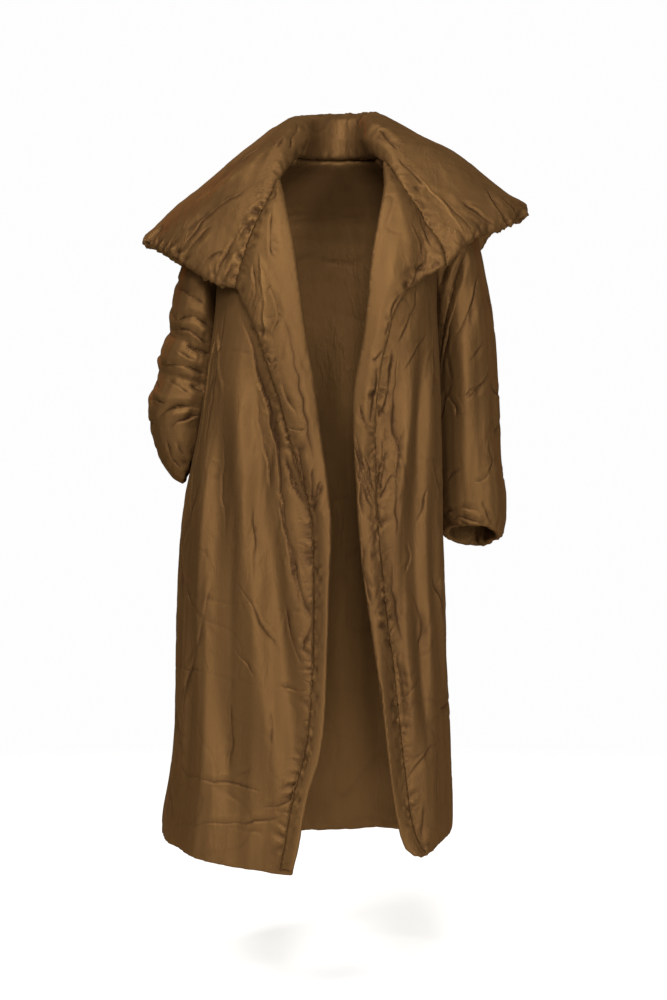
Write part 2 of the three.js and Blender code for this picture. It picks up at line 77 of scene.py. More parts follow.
# How the meshes' steps are evened out: how often, and by how much inwards and back out.
RELAX_ROUNDS = 12
RELAX_IN = 0.5
RELAX_OUT = -0.53
# The padding between the seams: how far it stands proud, and how far from a seam it gets there.
PUFF = 3.2
PUFF_REACH = 16.0

# A fold's section: how pointed its bottom is, how much steeper one side is, and its lips' height, place
# and width, in widths of the fold. Broad folds are soft rolls of the padding; narrower ones are pointed.
FOLD_REACH = 4.5
SHARPNESS = 1.25
ROLL_SHARPNESS = 2.0
BROAD = 12.0
SKEW = 0.45
LIP = 0.28
LIP_OFF = 2.4
LIP_WIDE = 1.3
DEEP_LIP = 0.2
DEEP_LIP_OFF = 2.1
# Along a fold: the share that fades out at each end, its mean depth, and how its depth varies.
END_FADE = 0.25
MEAN_DEPTH = 0.8
DEPTH_VARIES = 0.3
DEPTH_TURNS = 9.0
# A crease moves only the cloth that faces the view: from what slant on, and over what range.
FACING_FROM = 0.05
FACING_OVER = 0.4
CREASE_WIDTH = 0.75
CREASE_DEPTH = 0.62
# How far a crease strays from its given line, and how often it turns.
WANDER = 2.6
WANDER_STEP = 21.0
# Shorter creases leave a long one: from what length on there is one, then two, and each one's start and
# length as shares of the line, its slope in degrees, and its share of the depth.
BRANCHES_FROM = (34.0, 95.0)
BRANCH_START = (0.1, 0.6)
BRANCH_LENGTH = (0.25, 0.45)
BRANCH_SLOPE = (10.0, 30.0)
BRANCH_DEPTH = (0.45, 0.75)

# Fold lines in the finish, a fine bump with painted shade along a fold's bottom and a painted highlight along
# a ridge's top: how far from a fold's bottom they show, on cloth that faces the view this much, and the depth
# of a fold that has a line of full strength, with the weakest and the strongest.
LINE_REACH = 14.0
LINE_FACING = 0.3
LINE_DEPTH = 3.2
LINE_STRENGTH = (0.3, 1.25)
# Where a mark changes this much faster than the mesh's own steps, two lines meet.
JUMP = 1.7
JUMP_SLACK = 1.0
# Beside a placed crease a seam's puckers are weak: their least share, and from where to where they grow.
BY_CREASE = 0.2
BY_CREASE_FROM = 3.0
BY_CREASE_OVER = 9.0
# The depth of relief, crease to ridge, over which the colour goes from painted shade in the hollows to a
# painted highlight on the ridges.
PAINTED_SHADE_RANGE = 9.0

# Puckers at a seam: between which shares of the seam's own values each one's spacing, reach, depth and
# width lie, and how much it slants. Then the limits of their height in depths, the depth at which the fine
# ones are full, the lengths of the clusters of both, how far past the reach the cloth is looked at, and
# how much of a pucker's depth reaches the very edge.
PUCKER_SPACING = (0.4, 1.7)
PUCKER_REACH = (0.3, 1.3)
PUCKER_DEPTH = (0.2, 1.0)
PUCKER_WIDTH = (0.6, 1.7)
PUCKER_SLANT = 0.75
PUCKER_LIMITS = (-1.3, 0.8)
FULL_PUCKER = 4.6
CLUSTERS = (61.0, 23.0)
FINE_CLUSTERS = (53.0, 21.0)
GATHER_REACH = 1.6
EDGE_SHARE = 0.15

# The lapels are crowned more than the rest: how much, and over what width they round off.
LAPEL_CROWN = 7.0
LAPEL_ROUND = 26.0
LAPEL_FLAT = 500.0
# The narrow band below the lapels: how far its outer edge is sewn down, and how wide that dip is.
BAND_DIP = 10.0
BAND_DIP_WIDE = 16.0

# Smooth noise: its table's length, its whole numbers, and its grain, a little off the vertical.
NOISE_VALUES = 4096
NOISE_CODES = (73856093, 19349663, 83492791)
GRAIN_TURN = np.array([[0.951, 0.05, 0.305], [-0.118, 0.971, 0.208], [-0.286, -0.234, 0.929]])

# Browns of the cloth: the dark and light ends of its uneven tone, which also give the painted shade in its
# hollows and creases and the painted highlight on its ridges, and where it turns away. Then its roughness,
# its sheen, and how the sheen fades as the cloth turns away.
DARK_BROWN_AND_PAINTED_SHADE = (0.061, 0.0300, 0.0126)
LIGHT_BROWN_AND_PAINTED_HIGHLIGHT = (0.152, 0.0790, 0.0268)
TURNED = (0.066, 0.034, 0.0142)
TURNED_SHARE = 0.45
ROUGHNESS = 0.325
SHEEN = 0.45
SHEEN_FADE = (-2.94, 2.12)
EDGE_BLEND = 0.32
EDGE_TINT = (0.34, 0.32, 0.28)
# Relief in the finish, each with its strength and its height in metres.
FOLD_RELIEF = (1.0, 0.0017)
WRINKLE_RELIEF = (0.6, 0.0012)
THREAD_RELIEF = (0.35, 0.00012)
RIBS = 900.0

# The floor and the surround, which looks brighter than it lights.
FLOOR_RADIUS = 3.4
FLOOR_PALE = (0.86, 0.86, 0.86)
FLOOR_ROUGHNESS = 0.9
FLOOR_GLOW = 0.3
SURROUND_SEEN = 0.985
SURROUND_LIT = 0.17
WHITE = (1.0, 1.0, 1.0)
WARM = (1.0, 0.96, 0.9)
# Each lamp, in metres and watts: its place, what it is aimed at, its width and height, power and tint.
LAMPS = {
    "key": ((0.2, -3.6, 1.3), (0.0, 0.0, -0.6), (0.6, 2.4), 102.0, WHITE),
    "fill": ((-2.0, -2.4, 1.9), (-0.25, 0.0, 0.0), (0.6, 1.2), 50.0, WHITE),
    "side": ((1.7, -3.1, -0.1), (0.25, 0.0, -0.4), (0.5, 1.2), 65.0, WHITE),
    "top": ((-0.7, -1.5, 2.6), (-0.1, 0.0, 0.0), (1.0, 0.8), 66.0, WHITE),
    "back left": ((-2.2, 3.0, 1.4), (0.0, 0.0, -0.6), (0.8, 1.6), 100.0, WARM),
    "back right": ((2.4, 3.2, 0.4), (0.0, 0.0, -0.6), (1.0, 1.8), 44.0, WARM),
}

# The opening's edges from the hem up: level, the fold at the opening, and the facing's sewn outer edge.
OPENING = {
    "right": [
        (-1345, -88, -111), (-1260, -77, -101), (-1160, -57, -83), (-1060, -31, -59), (-930, -23, -48),
        (-790, -19, -48), (-670, -17, -54), (-570, -27, -82), (-510, -36, -96), (-450, -45, -111),
        (-390, -53, -131), (-340, -61, -147), (-292, -68, -168), (-247, -74, -190), (-205, -80, -180),
        (-158, -87, -167), (-111, -98, -147), (-74, -106, -127), (-46, -113, -118),
    ],
    "left": [
        (-1345, 190, 206), (-1302, 158, 178), (-1276, 122, 148), (-1210, 103, 129), (-1098, 87, 115),
        (-960, 70, 99), (-820, 51, 84), (-700, 37, 73), (-580, 28, 66), (-463, 25, 65),
        (-375, 36, 76), (-300, 47, 95), (-262, 52, 116), (-238, 54, 141), (-206, 58, 192),
        (-170, 64, 184), (-131, 71, 161), (-95, 78, 138), (-60, 84, 115), (-28, 84, 98),
    ],
}

# Folds and creases, by piece and view, in the order they are pressed. Each: its width, its depth (a
# positive one is a ridge) and its places. A deep fold moves the cloth's whole thickness, a crease only the
# outer cloth.
DEEP_FOLDS = {
    ("front_right", PHOTO): [
        (24, 12.5, [(240, 330), (242, 470), (248, 580), (258, 660), (268, 740), (276, 850)]),
        (23, -13, [(222, 370), (215, 500), (213, 620), (221, 730), (232, 850)]),
        (18, -9.5, [(262, 440), (273, 560), (284, 650), (291, 730), (296, 830)]),
        (14, 7, [(190, 520), (188, 640), (184, 740), (180, 830)]),
    ],
    ("front_left", PHOTO): [
        (17, 12, [(416, 350), (408, 410), (402, 460), (398, 520), (401, 600), (408, 700), (414, 780)]),
        (15, -12, [(425, 300), (423, 380), (420, 460), (418, 540), (424, 660), (432, 780)]),
        (13, 6, [(438, 460), (439, 560), (446, 680), (452, 800)]),
    ],
    ("sleeve_right", PHOTO): [
        (6.5, -8, [(170, 324), (182, 318), (193, 317), (205, 322), (216, 328)]),
        (6.5, -8, [(158, 367), (172, 365), (185, 366), (200, 371), (210, 376)]),
        (6.5, -8, [(154, 424), (163, 413), (175, 407), (190, 406), (204, 410)]),
    ],
    ("sleeve_right", RIGHT): [
        (8, -8, [(-50, -304), (-14, -292), (36, -262), (84, -240)]),
        (7.5, -8, [(-54, -394), (-10, -382), (38, -352), (90, -338)]),
        (8, -8, [(-54, -473), (-14, -450), (34, -420), (104, -396)]),
    ],
    ("sleeve_right", BACK): [
        (7, -7, [(-250, -318), (-280, -322), (-312, -334)]),
        (7, -7, [(-244, -372), (-284, -392), (-326, -396)]),
    ],
    ("sleeve_left", PHOTO): [
        (6.5, -8, [(470, 244), (458, 273), (447, 306), (440, 340), (438, 366)]),
        (5.5, -6, [(460, 244), (448, 262), (438, 288)]),
        (20, 10.5, [(462, 300), (464, 370), (466, 430), (464, 505)]),
        (14, -7.5, [(490, 300), (494, 380), (497, 460)]),
    ],
    ("back", BACK): [
        (26, -11.2, [(-120, -260), (-126, -460), (-136, -760), (-150, -1240)]),
        (24, 9.8, [(-60, -300), (-64, -560), (-60, -860), (-70, -1290)]),
        (26, -9.8, [(6, -260), (10, -560), (4, -900), (10, -1290)]),
        (24, 9.8, [(70, -320), (76, -600), (84, -900), (88, -1280)]),
        (22, -9.8, [(130, -380), (136, -700), (140, -1000), (150, -1250)]),
        (24, 9.8, [(-190, -380), (-204, -640), (-224, -900), (-250, -1240)]),
    ],
    ("back", LEFT): [
        (14, -8.8, [(30, -820), (36, -960), (28, -1100), (34, -1220)]),
        (16, 8.8, [(90, -640), (96, -860), (90, -1100)]),
    ],
    ("back", RIGHT): [
        (16, -8.8, [(40, -600), (44, -800), (36, -1000), (46, -1240)]),
        (16, 8.8, [(110, -560), (120, -820), (110, -1100)]),
    ],
}
CREASES = {
    ("front_right", PHOTO): [
        (6.5, -6.5, [(238, 306), (247, 330), (257, 362), (268, 406), (276, 446), (280, 478), (285, 525),
                     (292, 560), (299, 590)]),
        (5, -4.5, [(262, 384), (272, 420), (278, 455)]),
        (4.5, 4.4, [(222, 297), (215, 340), (209, 380), (204, 422), (197, 455), (191, 485), (189, 530)]),
        (4.5, -4.0, [(227, 300), (221, 340), (215, 384), (209, 426), (203, 456)]),
        (4.4, -4.6, [(284, 450), (292, 480), (303, 508)]),
        (4, -4, [(290, 470), (297, 492), (304, 509)]),
        (4.4, -4, [(279, 494), (284, 530), (291, 560), (297, 590)]),
        (4.4, -3, [(256, 398), (262, 430), (268, 462), (272, 500)]),
        (4.2, -3.2, [(232, 577), (250, 605), (268, 632), (286, 656)]),
        (4, -2.8, [(232, 648), (244, 662), (258, 680)]),
        (4, -2.8, [(278, 686), (292, 690), (308, 691)]),
        (4, -3.2, [(181, 669), (190, 672), (199, 671)]),
        (4.6, -3.8, [(174, 758), (186, 776), (207, 782), (236, 786), (266, 794)]),
        (4.6, -3.6, [(258, 810), (280, 806), (303, 791)]),
        (4.6, -3.6, [(187, 833), (202, 826), (226, 825), (270, 822), (292, 813)]),
        (4, -2.4, [(269, 712), (271, 732), (269, 750)]),
        (4.4, -2.6, [(211, 585), (204, 618), (195, 652)]),
        (4.4, -2.4, [(183, 575), (190, 600), (200, 622)]),
        (5, -2.2, [(226, 430), (222, 490), (226, 545)]),
        (5, -2.6, [(252, 500), (256, 545), (250, 590)]),
        (6, -4.6, [(290, 545), (296, 572), (304, 600), (313, 622)]),
        (5, -3.6, [(313, 622), (306, 640), (302, 656)]),
        (5, -3, [(284, 600), (292, 640), (304, 668)]),
        (6, -2.4, [(229, 700), (232, 740), (228, 775)]),
    ],
    ("front_right", RIGHT): [
        (7, -4.6, [(-34, -640), (-60, -690), (-96, -760), (-120, -850)]),
        (6, -4, [(-40, -760), (-70, -850), (-84, -940)]),
        (6, -3.8, [(-150, -600), (-120, -680), (-96, -730)]),
        (7, -4.4, [(-60, -980), (-96, -1060), (-150, -1120)]),
        (6, -4, [(-36, -1120), (-80, -1160), (-130, -1236)]),
        (6, -3.8, [(-170, -900), (-140, -990), (-136, -1060)]),
    ],
    ("facing_right", PHOTO): [
        (4.6, 3.2, [(260, 250), (263, 285), (265, 315), (265, 344)]),
        (4, -2.8, [(270, 278), (280, 314), (274, 330), (267, 345)]),
        (4.4, -2.6, [(254, 262), (256, 290), (252, 312)]),
        (3.6, -2.4, [(263, 298), (267, 291), (272, 284)]),
        (5, -4.6, [(266, 357), (271, 363), (276, 357)]),
        (3.6, -2.4, [(264, 368), (270, 372), (278, 366)]),
        (3.8, -3.4, [(286, 427), (295, 430), (305, 430)]),
        (5, -2.6, [(282, 380), (288, 400), (296, 418)]),
        (4.4, -4.2, [(298, 450), (302, 480), (307, 508)]),
        (4, -4, [(324, 484), (317, 500), (309, 512)]),
        (4, -3.6, [(312, 466), (311, 488), (308, 508)]),
        (4, -3, [(290, 446), (296, 462), (300, 480)]),
        (4.4, -3.4, [(322, 478), (315, 498), (309, 513)]),
        (8, -2.6, [(279, 300), (292, 350), (306, 420), (318, 480)]),
        (6, -2.8, [(272, 210), (270, 240), (276, 262)]),
    ],
    ("front_left", PHOTO): [
        (5, -2.8, [(418, 284), (414, 308), (405, 330), (398, 346)]),
        (4.6, -4.4, [(392, 346), (390, 372), (385, 400), (379, 422)]),
        (4.4, -4.2, [(394, 470), (386, 488), (379, 504)]),
        (4, -3.6, [(388, 446), (383, 474), (378, 498)]),
        (4, -3.6, [(382, 436), (381, 466), (377, 492)]),
        (4.4, -3.6, [(429, 273), (431, 290), (433, 330), (435, 400)]),
        (5, -3.2, [(404, 420), (399, 450), (397, 500), (400, 540)]),
        (5, -3, [(396, 640), (402, 690), (404, 740)]),
        (4.4, -3.2, [(428, 330), (416, 350), (404, 372)]),
        (8, -3.6, [(398, 350), (394, 390), (394, 430), (398, 462)]),
        (4.6, -3, [(428, 487), (424, 503), (419, 524)]),
        (9, -3.4, [(392, 556), (396, 600), (404, 650)]),
        (4.6, -3.6, [(440, 738), (424, 760), (406, 784)]),
        (6, -2.8, [(436, 742), (438, 780), (436, 812)]),
        (4.4, -2.8, [(404, 576), (410, 562), (408, 540)]),
        (4, -2.8, [(400, 700), (412, 690), (420, 676)]),
        (7, -3, [(426, 800), (424, 830), (420, 855)]),
        (5, -3.6, [(380, 470), (376, 500), (384, 530)]),
        (7, -2.6, [(412, 590), (422, 620), (418, 660)]),
    ],
    ("front_left", LEFT): [
        (6.5, -4.4, [(-34, -780), (-70, -850), (-96, -930)]),
        (6.5, -4.2, [(-36, -960), (-80, -1010), (-140, -1036)]),
        (6, -3.8, [(-150, -760), (-120, -840), (-110, -900)]),
        (6, -3.8, [(-60, -1100), (-90, -1180), (-84, -1250)]),
        (6.5, -4.4, [(-100, -300), (-110, -400), (-96, -500)]),
        (6.5, -4.2, [(-130, -560), (-110, -640), (-90, -700)]),
    ],
    ("facing_left", PHOTO): [
        (4.6, -3.4, [(424, 262), (414, 278), (410, 290)]),
        (4.6, -3.4, [(402, 296), (394, 306), (390, 320)]),
        (4, -3, [(386, 322), (388, 326), (384, 336)]),
        (4.6, -3.8, [(382, 350), (375, 358), (370, 360)]),
        (4.4, -4.4, [(359, 404), (363, 418), (370, 427)]),
        (4.6, -5.0, [(377, 362), (375, 392), (369, 426)]),
        (4.4, -4.4, [(354, 438), (362, 470), (375, 504)]),
        (4, -4, [(356, 468), (364, 490), (375, 507)]),
        (4, -3.4, [(352, 420), (360, 452), (372, 488)]),
        (4, -3.4, [(365, 446), (370, 474), (377, 498)]),
        (4.4, -3.2, [(362, 540), (366, 580), (374, 610)]),
        (4.4, -3, [(372, 650), (380, 690), (384, 730)]),
        (16, 3, [(398, 176), (400, 210), (396, 250), (386, 300)]),
        (5, -3.6, [(420, 214), (424, 234), (434, 250)]),
        (4.4, -3, [(412, 224), (418, 240), (420, 258)]),
        (4.6, -3.2, [(364, 470), (360, 500), (368, 520)]),
    ],
    ("sleeve_right", PHOTO): [
        (5.5, -6, [(172, 330), (186, 331), (200, 338), (212, 344)]),
        (5.5, -6, [(184, 343), (196, 348), (212, 355)]),
        (5, -5, [(190, 383), (198, 387), (206, 391)]),
        (5, -5, [(150, 398), (158, 402), (166, 404)]),
        (5.5, -6, [(168, 432), (180, 421), (192, 417), (203, 416)]),
        (8, -3.6, [(176, 290), (190, 296), (206, 304)]),
        (4.6, -3.6, [(176, 350), (186, 356), (196, 360)]),
        (4.8, -3.4, [(166, 378), (178, 384), (190, 394)]),
        (5, -3.8, [(166, 440), (172, 458), (182, 470)]),
        (4.4, -3.4, [(176, 440), (182, 452), (188, 460)]),
    ],
    ("sleeve_right", RIGHT): [
        (7, -5.5, [(-40, -236), (10, -226), (70, -198)]),
        (6.5, -6, [(-46, -338), (0, -328), (50, -322), (108, -326)]),
        (6, -5.5, [(-40, -432), (-6, -420), (24, -392)]),
        (6.5, -6, [(-44, -494), (10, -496), (60, -474), (90, -462)]),
        (6, -5, [(-24, -532), (8, -546), (44, -536)]),
        (5.5, -4.5, [(30, -300), (60, -290), (100, -268)]),
        (5.5, -4.5, [(20, -372), (60, -366), (96, -372)]),
    ],
    ("sleeve_right", BACK): [
        (7, -6, [(-246, -222), (-272, -240), (-300, -246)]),
        (6, -6, [(-250, -440), (-290, -446), (-336, -466)]),
        (6, -5, [(-262, -500), (-300, -508), (-340, -526)]),
    ],
    ("sleeve_left", PHOTO): [
        (4.6, -4.2, [(458, 296), (450, 324), (443, 352), (440, 384)]),
        (4.6, -3.6, [(440, 420), (444, 402), (452, 384)]),
        (4.6, -4.4, [(446, 524), (458, 519), (474, 521), (490, 527)]),
        (4.2, -3.4, [(440, 518), (450, 512), (458, 510)]),
        (4.2, -3.2, [(482, 500), (486, 512), (492, 522)]),
        (6, -4.2, [(478, 270), (474, 300), (462, 326), (450, 342)]),
        (4.2, -3, [(484, 342), (476, 352), (468, 362)]),
        (4.6, -3.8, [(490, 366), (486, 380), (474, 392), (462, 402)]),
        (4, -2.6, [(482, 386), (472, 390), (464, 400)]),
        (5, -3, [(444, 392), (452, 404), (456, 420)]),
        (4.4, -2.8, [(446, 484), (452, 476), (460, 466)]),
        (4.2, -2.6, [(474, 484), (482, 480), (490, 474)]),
        (5, -3, [(452, 512), (464, 508), (480, 510)]),
        (5, -2.6, [(488, 440), (492, 460), (488, 478)]),
    ],
    ("sleeve_left", LEFT): [
        (9, -5, [(-40, -240), (0, -300), (30, -380)]),
        (12, -4, [(20, -210), (50, -290), (54, -370)]),
        (6, -4, [(-44, -420), (0, -440), (50, -430)]),
        (6, -4, [(40, -480), (0, -500), (-30, -524)]),
        (6, -3.6, [(-20, -590), (30, -606), (80, -596)]),
        (12, -4, [(90, -440), (70, -520), (84, -620)]),
    ],
    ("sleeve_left", BACK): [
        (8, -5, [(200, -250), (222, -330), (214, -400)]),
        (9, -4.5, [(240, -210), (250, -300), (262, -370)]),
        (6, -4, [(206, -470), (240, -456), (282, -470)]),
        (6, -4, [(212, -600), (244, -584), (290, -596)]),
    ],
    ("collar", PHOTO): [
        (5, -4, [(299, 122), (294, 136), (288, 152)]),
        (4.4, -3, [(288, 132), (282, 142), (276, 150)]),
        (8, -4.5, [(247, 190), (226, 203), (207, 218), (190, 238), (180, 252)]),
        (5, -4, [(214, 226), (206, 232), (194, 244), (184, 258)]),
        (6, -5, [(238, 236), (228, 252), (218, 272), (212, 282)]),
        (5, -3.6, [(226, 252), (214, 256), (202, 266)]),
        (5, -3.6, [(256, 214), (246, 228), (236, 244)]),
        (5, -4, [(232, 262), (226, 276), (222, 286)]),
        (16, 3.4, [(266, 156), (240, 172), (214, 190), (190, 210)]),
        (5.5, -4.6, [(459, 200), (477, 213), (496, 228)]),
        (5.5, -4.4, [(484, 186), (494, 202), (506, 222)]),
        (7, -3.6, [(440, 196), (456, 214), (472, 232)]),
        (12, 3, [(410, 168), (430, 190), (452, 216), (466, 240)]),
        (6, -3, [(398, 158), (412, 172), (424, 188)]),
        (6, -3.6, [(378, 130), (388, 142), (398, 152)]),
        (5, -3.4, [(500, 196), (512, 208), (518, 222)]),
    ],
    ("collar", BACK): [
        (14, -5, [(-40, 40), (-50, -60), (-58, -190)]),
        (14, -5, [(50, 46), (66, -50), (84, -190)]),
        (18, 4, [(4, 60), (0, -40), (8, -180)]),
        (12, -5, [(-130, 20), (-170, -60), (-210, -170)]),
        (10, -5, [(-210, -30), (-270, -90), (-306, -150)]),
        (12, -5, [(140, 20), (180, -60), (214, -160)]),
        (10, -5, [(220, -10), (262, -60), (300, -110)]),
        (8, -4, [(-90, 20), (-110, -40), (-120, -110)]),
        (8, -4, [(96, 20), (116, -30), (130, -100)]),
        (6, -4, [(-120, -160), (-128, -200), (-124, -240)]),
        (6, -4, [(36, -170), (30, -210), (34, -248)]),
    ],
    ("collar", RIGHT): [
        (9, -4, [(-20, 60), (-44, -20), (-60, -90)]),
        (9, -4.4, [(60, 56), (60, -20), (76, -110)]),
        (8, -3.6, [(130, 10), (144, -60), (150, -130)]),
    ],
    ("collar", LEFT): [
        (9, -4, [(0, 46), (-14, -20), (-30, -80)]),
        (8, -4, [(84, 36), (96, -40), (98, -100)]),
        (8, -3.6, [(150, -10), (156, -80), (166, -150)]),
    ],
    ("back", BACK): [
        (7.5, -4.4, [(-36, -262), (-62, -340), (-104, -420), (-116, -510)]),
        (7, -4.2, [(58, -270), (76, -340), (106, -396), (112, -470)]),
        (6.5, -4, [(-170, -290), (-184, -370), (-172, -450)]),
        (6, -3.8, [(140, -300), (156, -380), (150, -450)]),
        (7, -3.6, [(-6, -330), (4, -420), (-4, -500)]),
        (6, -4.2, [(-230, -560), (-190, -640), (-130, -700), (-90, -720)]),
        (6, -4, [(164, -560), (150, -640), (118, -700), (110, -790)]),
        (6, -3.6, [(-20, -560), (-34, -660), (-26, -760)]),
        (6, -3.6, [(60, -820), (76, -900), (70, -1000)]),
        (6, -4, [(-270, -900), (-240, -960), (-190, -1000)]),
        (6, -3.6, [(-140, -900), (-120, -1000), (-130, -1100)]),
        (6, -4, [(150, -1050), (110, -1110), (60, -1150)]),
        (6, -4.4, [(-300, -1140), (-240, -1180), (-160, -1200), (-100, -1196)]),
        (6, -4, [(-40, -1240), (30, -1220), (110, -1230)]),
        (6, -3.6, [(-220, -1080), (-190, -1160), (-196, -1240)]),
    ],
    ("back", RIGHT): [
        (6.5, -4.4, [(-18, -660), (20, -720), (50, -800)]),
        (6, -4, [(-14, -900), (40, -960), (70, -1050)]),
        (7, -4.4, [(10, -1050), (60, -1130), (130, -1170)]),
        (6.5, -4.4, [(150, -420), (130, -520), (90, -600)]),
        (6, -3.8, [(170, -700), (150, -800), (160, -900)]),
        (6.5, -4.4, [(-16, -560), (30, -600), (90, -620)]),
    ],
    ("back", LEFT): [
        (6.5, -4.4, [(-14, -800), (30, -860), (66, -940)]),
        (6.5, -4.2, [(140, -460), (150, -560), (130, -660)]),
        (6.5, -4.2, [(-16, -1040), (50, -1090), (120, -1100)]),
        (6, -3.8, [(160, -820), (130, -900), (124, -980)]),
        (6, -3.8, [(20, -1140), (60, -1200), (70, -1260)]),
    ],
}


def smooth(t):
    t = np.clip(t, 0.0, 1.0)
    return t * t * (3.0 - 2.0 * t)


def bell(t):
    return np.exp(-t * t)


def run_along(line):
    """How far along a line each of its points lies."""
    return np.concatenate([[0.0], np.cumsum(np.linalg.norm(np.diff(line, axis=0), axis=1))])


def even_line(line, step):
    """The same line with even steps."""
    run = run_along(line)
    count = max(int(run[-1] / step), 2)
    wanted = np.linspace(0.0, run[-1], count + 1)
    return np.stack([np.interp(wanted, run, line[:, k]) for k in range(line.shape[1])], axis=1)


def curved(places, step):
    """A smooth curve through given places, as even points."""
    places = np.array(places, dtype=float)
    if len(places) > 2:
        padded_ends = np.vstack([2 * places[0] - places[1], places, 2 * places[-1] - places[-2]])
        fine = []
        for a, b, c, d in zip(padded_ends, padded_ends[1:], padded_ends[2:], padded_ends[3:]):
            bend, twist = 2 * a - 5 * b + 4 * c - d, 3 * b - a - 3 * c + d
            for t in np.linspace(0.0, 1.0, CURVE_STEPS, endpoint=False):
                fine.append(0.5 * (2 * b + (c - a) * t + bend * t**2 + twist * t**3))
        places = np.vstack([fine, places[-1]])
    return even_line(places, step)


def across_line(line, facing):
    """The direction on the cloth that crosses a line, at each of its points."""
    course = np.gradient(line, axis=0)
    course /= np.linalg.norm(course, axis=1)[:, None] + 1e-9
    return np.cross(course, facing)


# the cloth's surface
class Cloth:
    """A padded piece while its surface is shaped: its points and normals, in millimetres."""

    def __init__(self, piece):
        self.piece = piece
        self.read()
        count = len(self.points)
        self.relief = np.zeros(count)
        self.fold_side = np.full(count, LINE_REACH)
        self.fold_depth = np.zeros(count)
        self.seam_along = np.zeros(count)
        self.seam_off = np.zeros(count)
        self.pucker = np.zeros(count)

    def read(self):
        mesh = self.piece.data
        flat = np.empty(len(mesh.vertices) * 3, dtype=np.float32)
        mesh.vertices.foreach_get("co", flat)
        self.points = flat.reshape(-1, 3).astype(np.float64) * MM
        mesh.vertex_normals.foreach_get("vector", flat)
        self.normals = flat.reshape(-1, 3).astype(np.float64)

    def write(self):
        mesh = self.piece.data
        mesh.vertices.foreach_set("co", (self.points / MM).astype(np.float32).ravel())
        mesh.update()
        self.read()

    def push(self, heights, rows=slice(None)):
        """Moves points along their normals, and adds the move to the relief, which the finish turns into
        painted shade in hollows and a painted highlight on ridges.
        """
        self.points[rows] += self.normals[rows] * heights[:, None]
        self.relief[rows] += heights

    def ends(self):
        """The two ends of each edge of the mesh."""
        mesh = self.piece.data
        ends = np.empty(len(mesh.edges) * 2, dtype=np.int32)
        mesh.edges.foreach_get("vertices", ends)
        return ends.reshape(-1, 2).T

    def within(self, lines, reach):
        """The rows of the points in the box round some lines."""
        low, high = lines.min(0) - reach, lines.max(0) + reach
        return np.where(np.all((self.points > low) & (self.points < high), axis=1))[0]

    def tree(self):
        mesh = self.piece.data
        points = [v.co.copy() for v in mesh.vertices]
        return BVHTree.FromPolygons(points, [list(p.vertices) for p in mesh.polygons])

    def relax(self):
        """Evens out the squares' small steps without shrinking the piece."""
        a, b = self.ends()
        count = len(self.points)
        share = np.bincount(a, minlength=count) + np.bincount(b, minlength=count)
        for factor in (RELAX_IN, RELAX_OUT) * RELAX_ROUNDS:
            drawn = np.empty_like(self.points)
            for k in range(3):
                column = self.points[:, k]
                drawn[:, k] = np.bincount(a, column[b], count) + np.bincount(b, column[a], count)
            self.points += factor * (drawn / share[:, None] - self.points)
        self.write()

    def mark_fold(self, rows, side, depth):
        """Keeps the nearest fold line: how far off it lies, to which side, and how deep it is."""
        closer = np.abs(side) < np.abs(self.fold_side[rows])
        self.fold_side[rows[closer]] = side[closer]
        self.fold_depth[rows[closer]] = depth[closer]

    def mark_seam(self, rows, along, off, pucker):
        """Keeps where a point lies by the seam that puckers it most, and less so beside a placed crease."""
        clear = smooth((np.abs(self.fold_side[rows]) - BY_CREASE_FROM) / BY_CREASE_OVER)
        pucker = pucker * (BY_CREASE + (1.0 - BY_CREASE) * clear)
        more = pucker > self.pucker[rows]
        for kept, values in ((self.seam_along, along), (self.seam_off, off), (self.pucker, pucker)):
            kept[rows[more]] = values[more]

    def end_marks(self):
        """Fades a mark out where two fold lines or two seams meet, so that no false line shows between."""
        a, b = self.ends()
        length = np.linalg.norm(self.points[a] - self.points[b], axis=1)
        for place, strength in ((self.fold_side, self.fold_depth), (self.seam_along, self.pucker)):
            torn = np.abs(place[a] - place[b]) > JUMP * length + JUMP_SLACK
            strength[a[torn]] = 0.0
            strength[b[torn]] = 0.0

    def keep_marks(self):
        """Stores what the cloth's finish reads: how deep each point lies, for painted shade in hollows and a
        painted highlight on ridges, and the nearest fold line and seam.
        """
        self.end_marks()
        marks = {
            "relief": np.clip(0.5 + self.relief / PAINTED_SHADE_RANGE, 0.0, 1.0),
            "fold side": self.fold_side,
            "fold depth": self.fold_depth,
            "seam along": self.seam_along,
            "seam off": self.seam_off,
            "pucker": self.pucker,
        }
        for name, values in marks.items():
            stored = self.piece.data.attributes.new(name, "FLOAT", "POINT")
            stored.data.foreach_set("value", values.astype(np.float32))


def welded(mesh):
    """A solid's mesh, open for work, with its doubled points joined."""
    work = bmesh.new()
    work.from_mesh(mesh)
    bmesh.ops.remove_doubles(work, verts=work.verts, dist=WELD)
    return work


def even_copy(node, name, side):
    """A copy of a solid's mesh with even squares, as a new piece."""
    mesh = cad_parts[node].data.copy()
    mesh.materials.clear()
    work = welded(mesh)
    work.to_mesh(mesh)
    work.free()
    piece = bpy.data.objects.new(name, mesh)
    bpy.context.scene.collection.objects.link(piece)
    even = piece.modifiers.new("even squares", "REMESH")
    even.mode = "VOXEL"
    even.voxel_size = side / MM
    graph = bpy.context.evaluated_depsgraph_get()
    made = bpy.data.meshes.new_from_object(piece.evaluated_get(graph))
    piece.modifiers.clear()
    piece.data = made
    made.name = name
    made.polygons.foreach_set("use_smooth", [True] * len(made.polygons))
    return piece


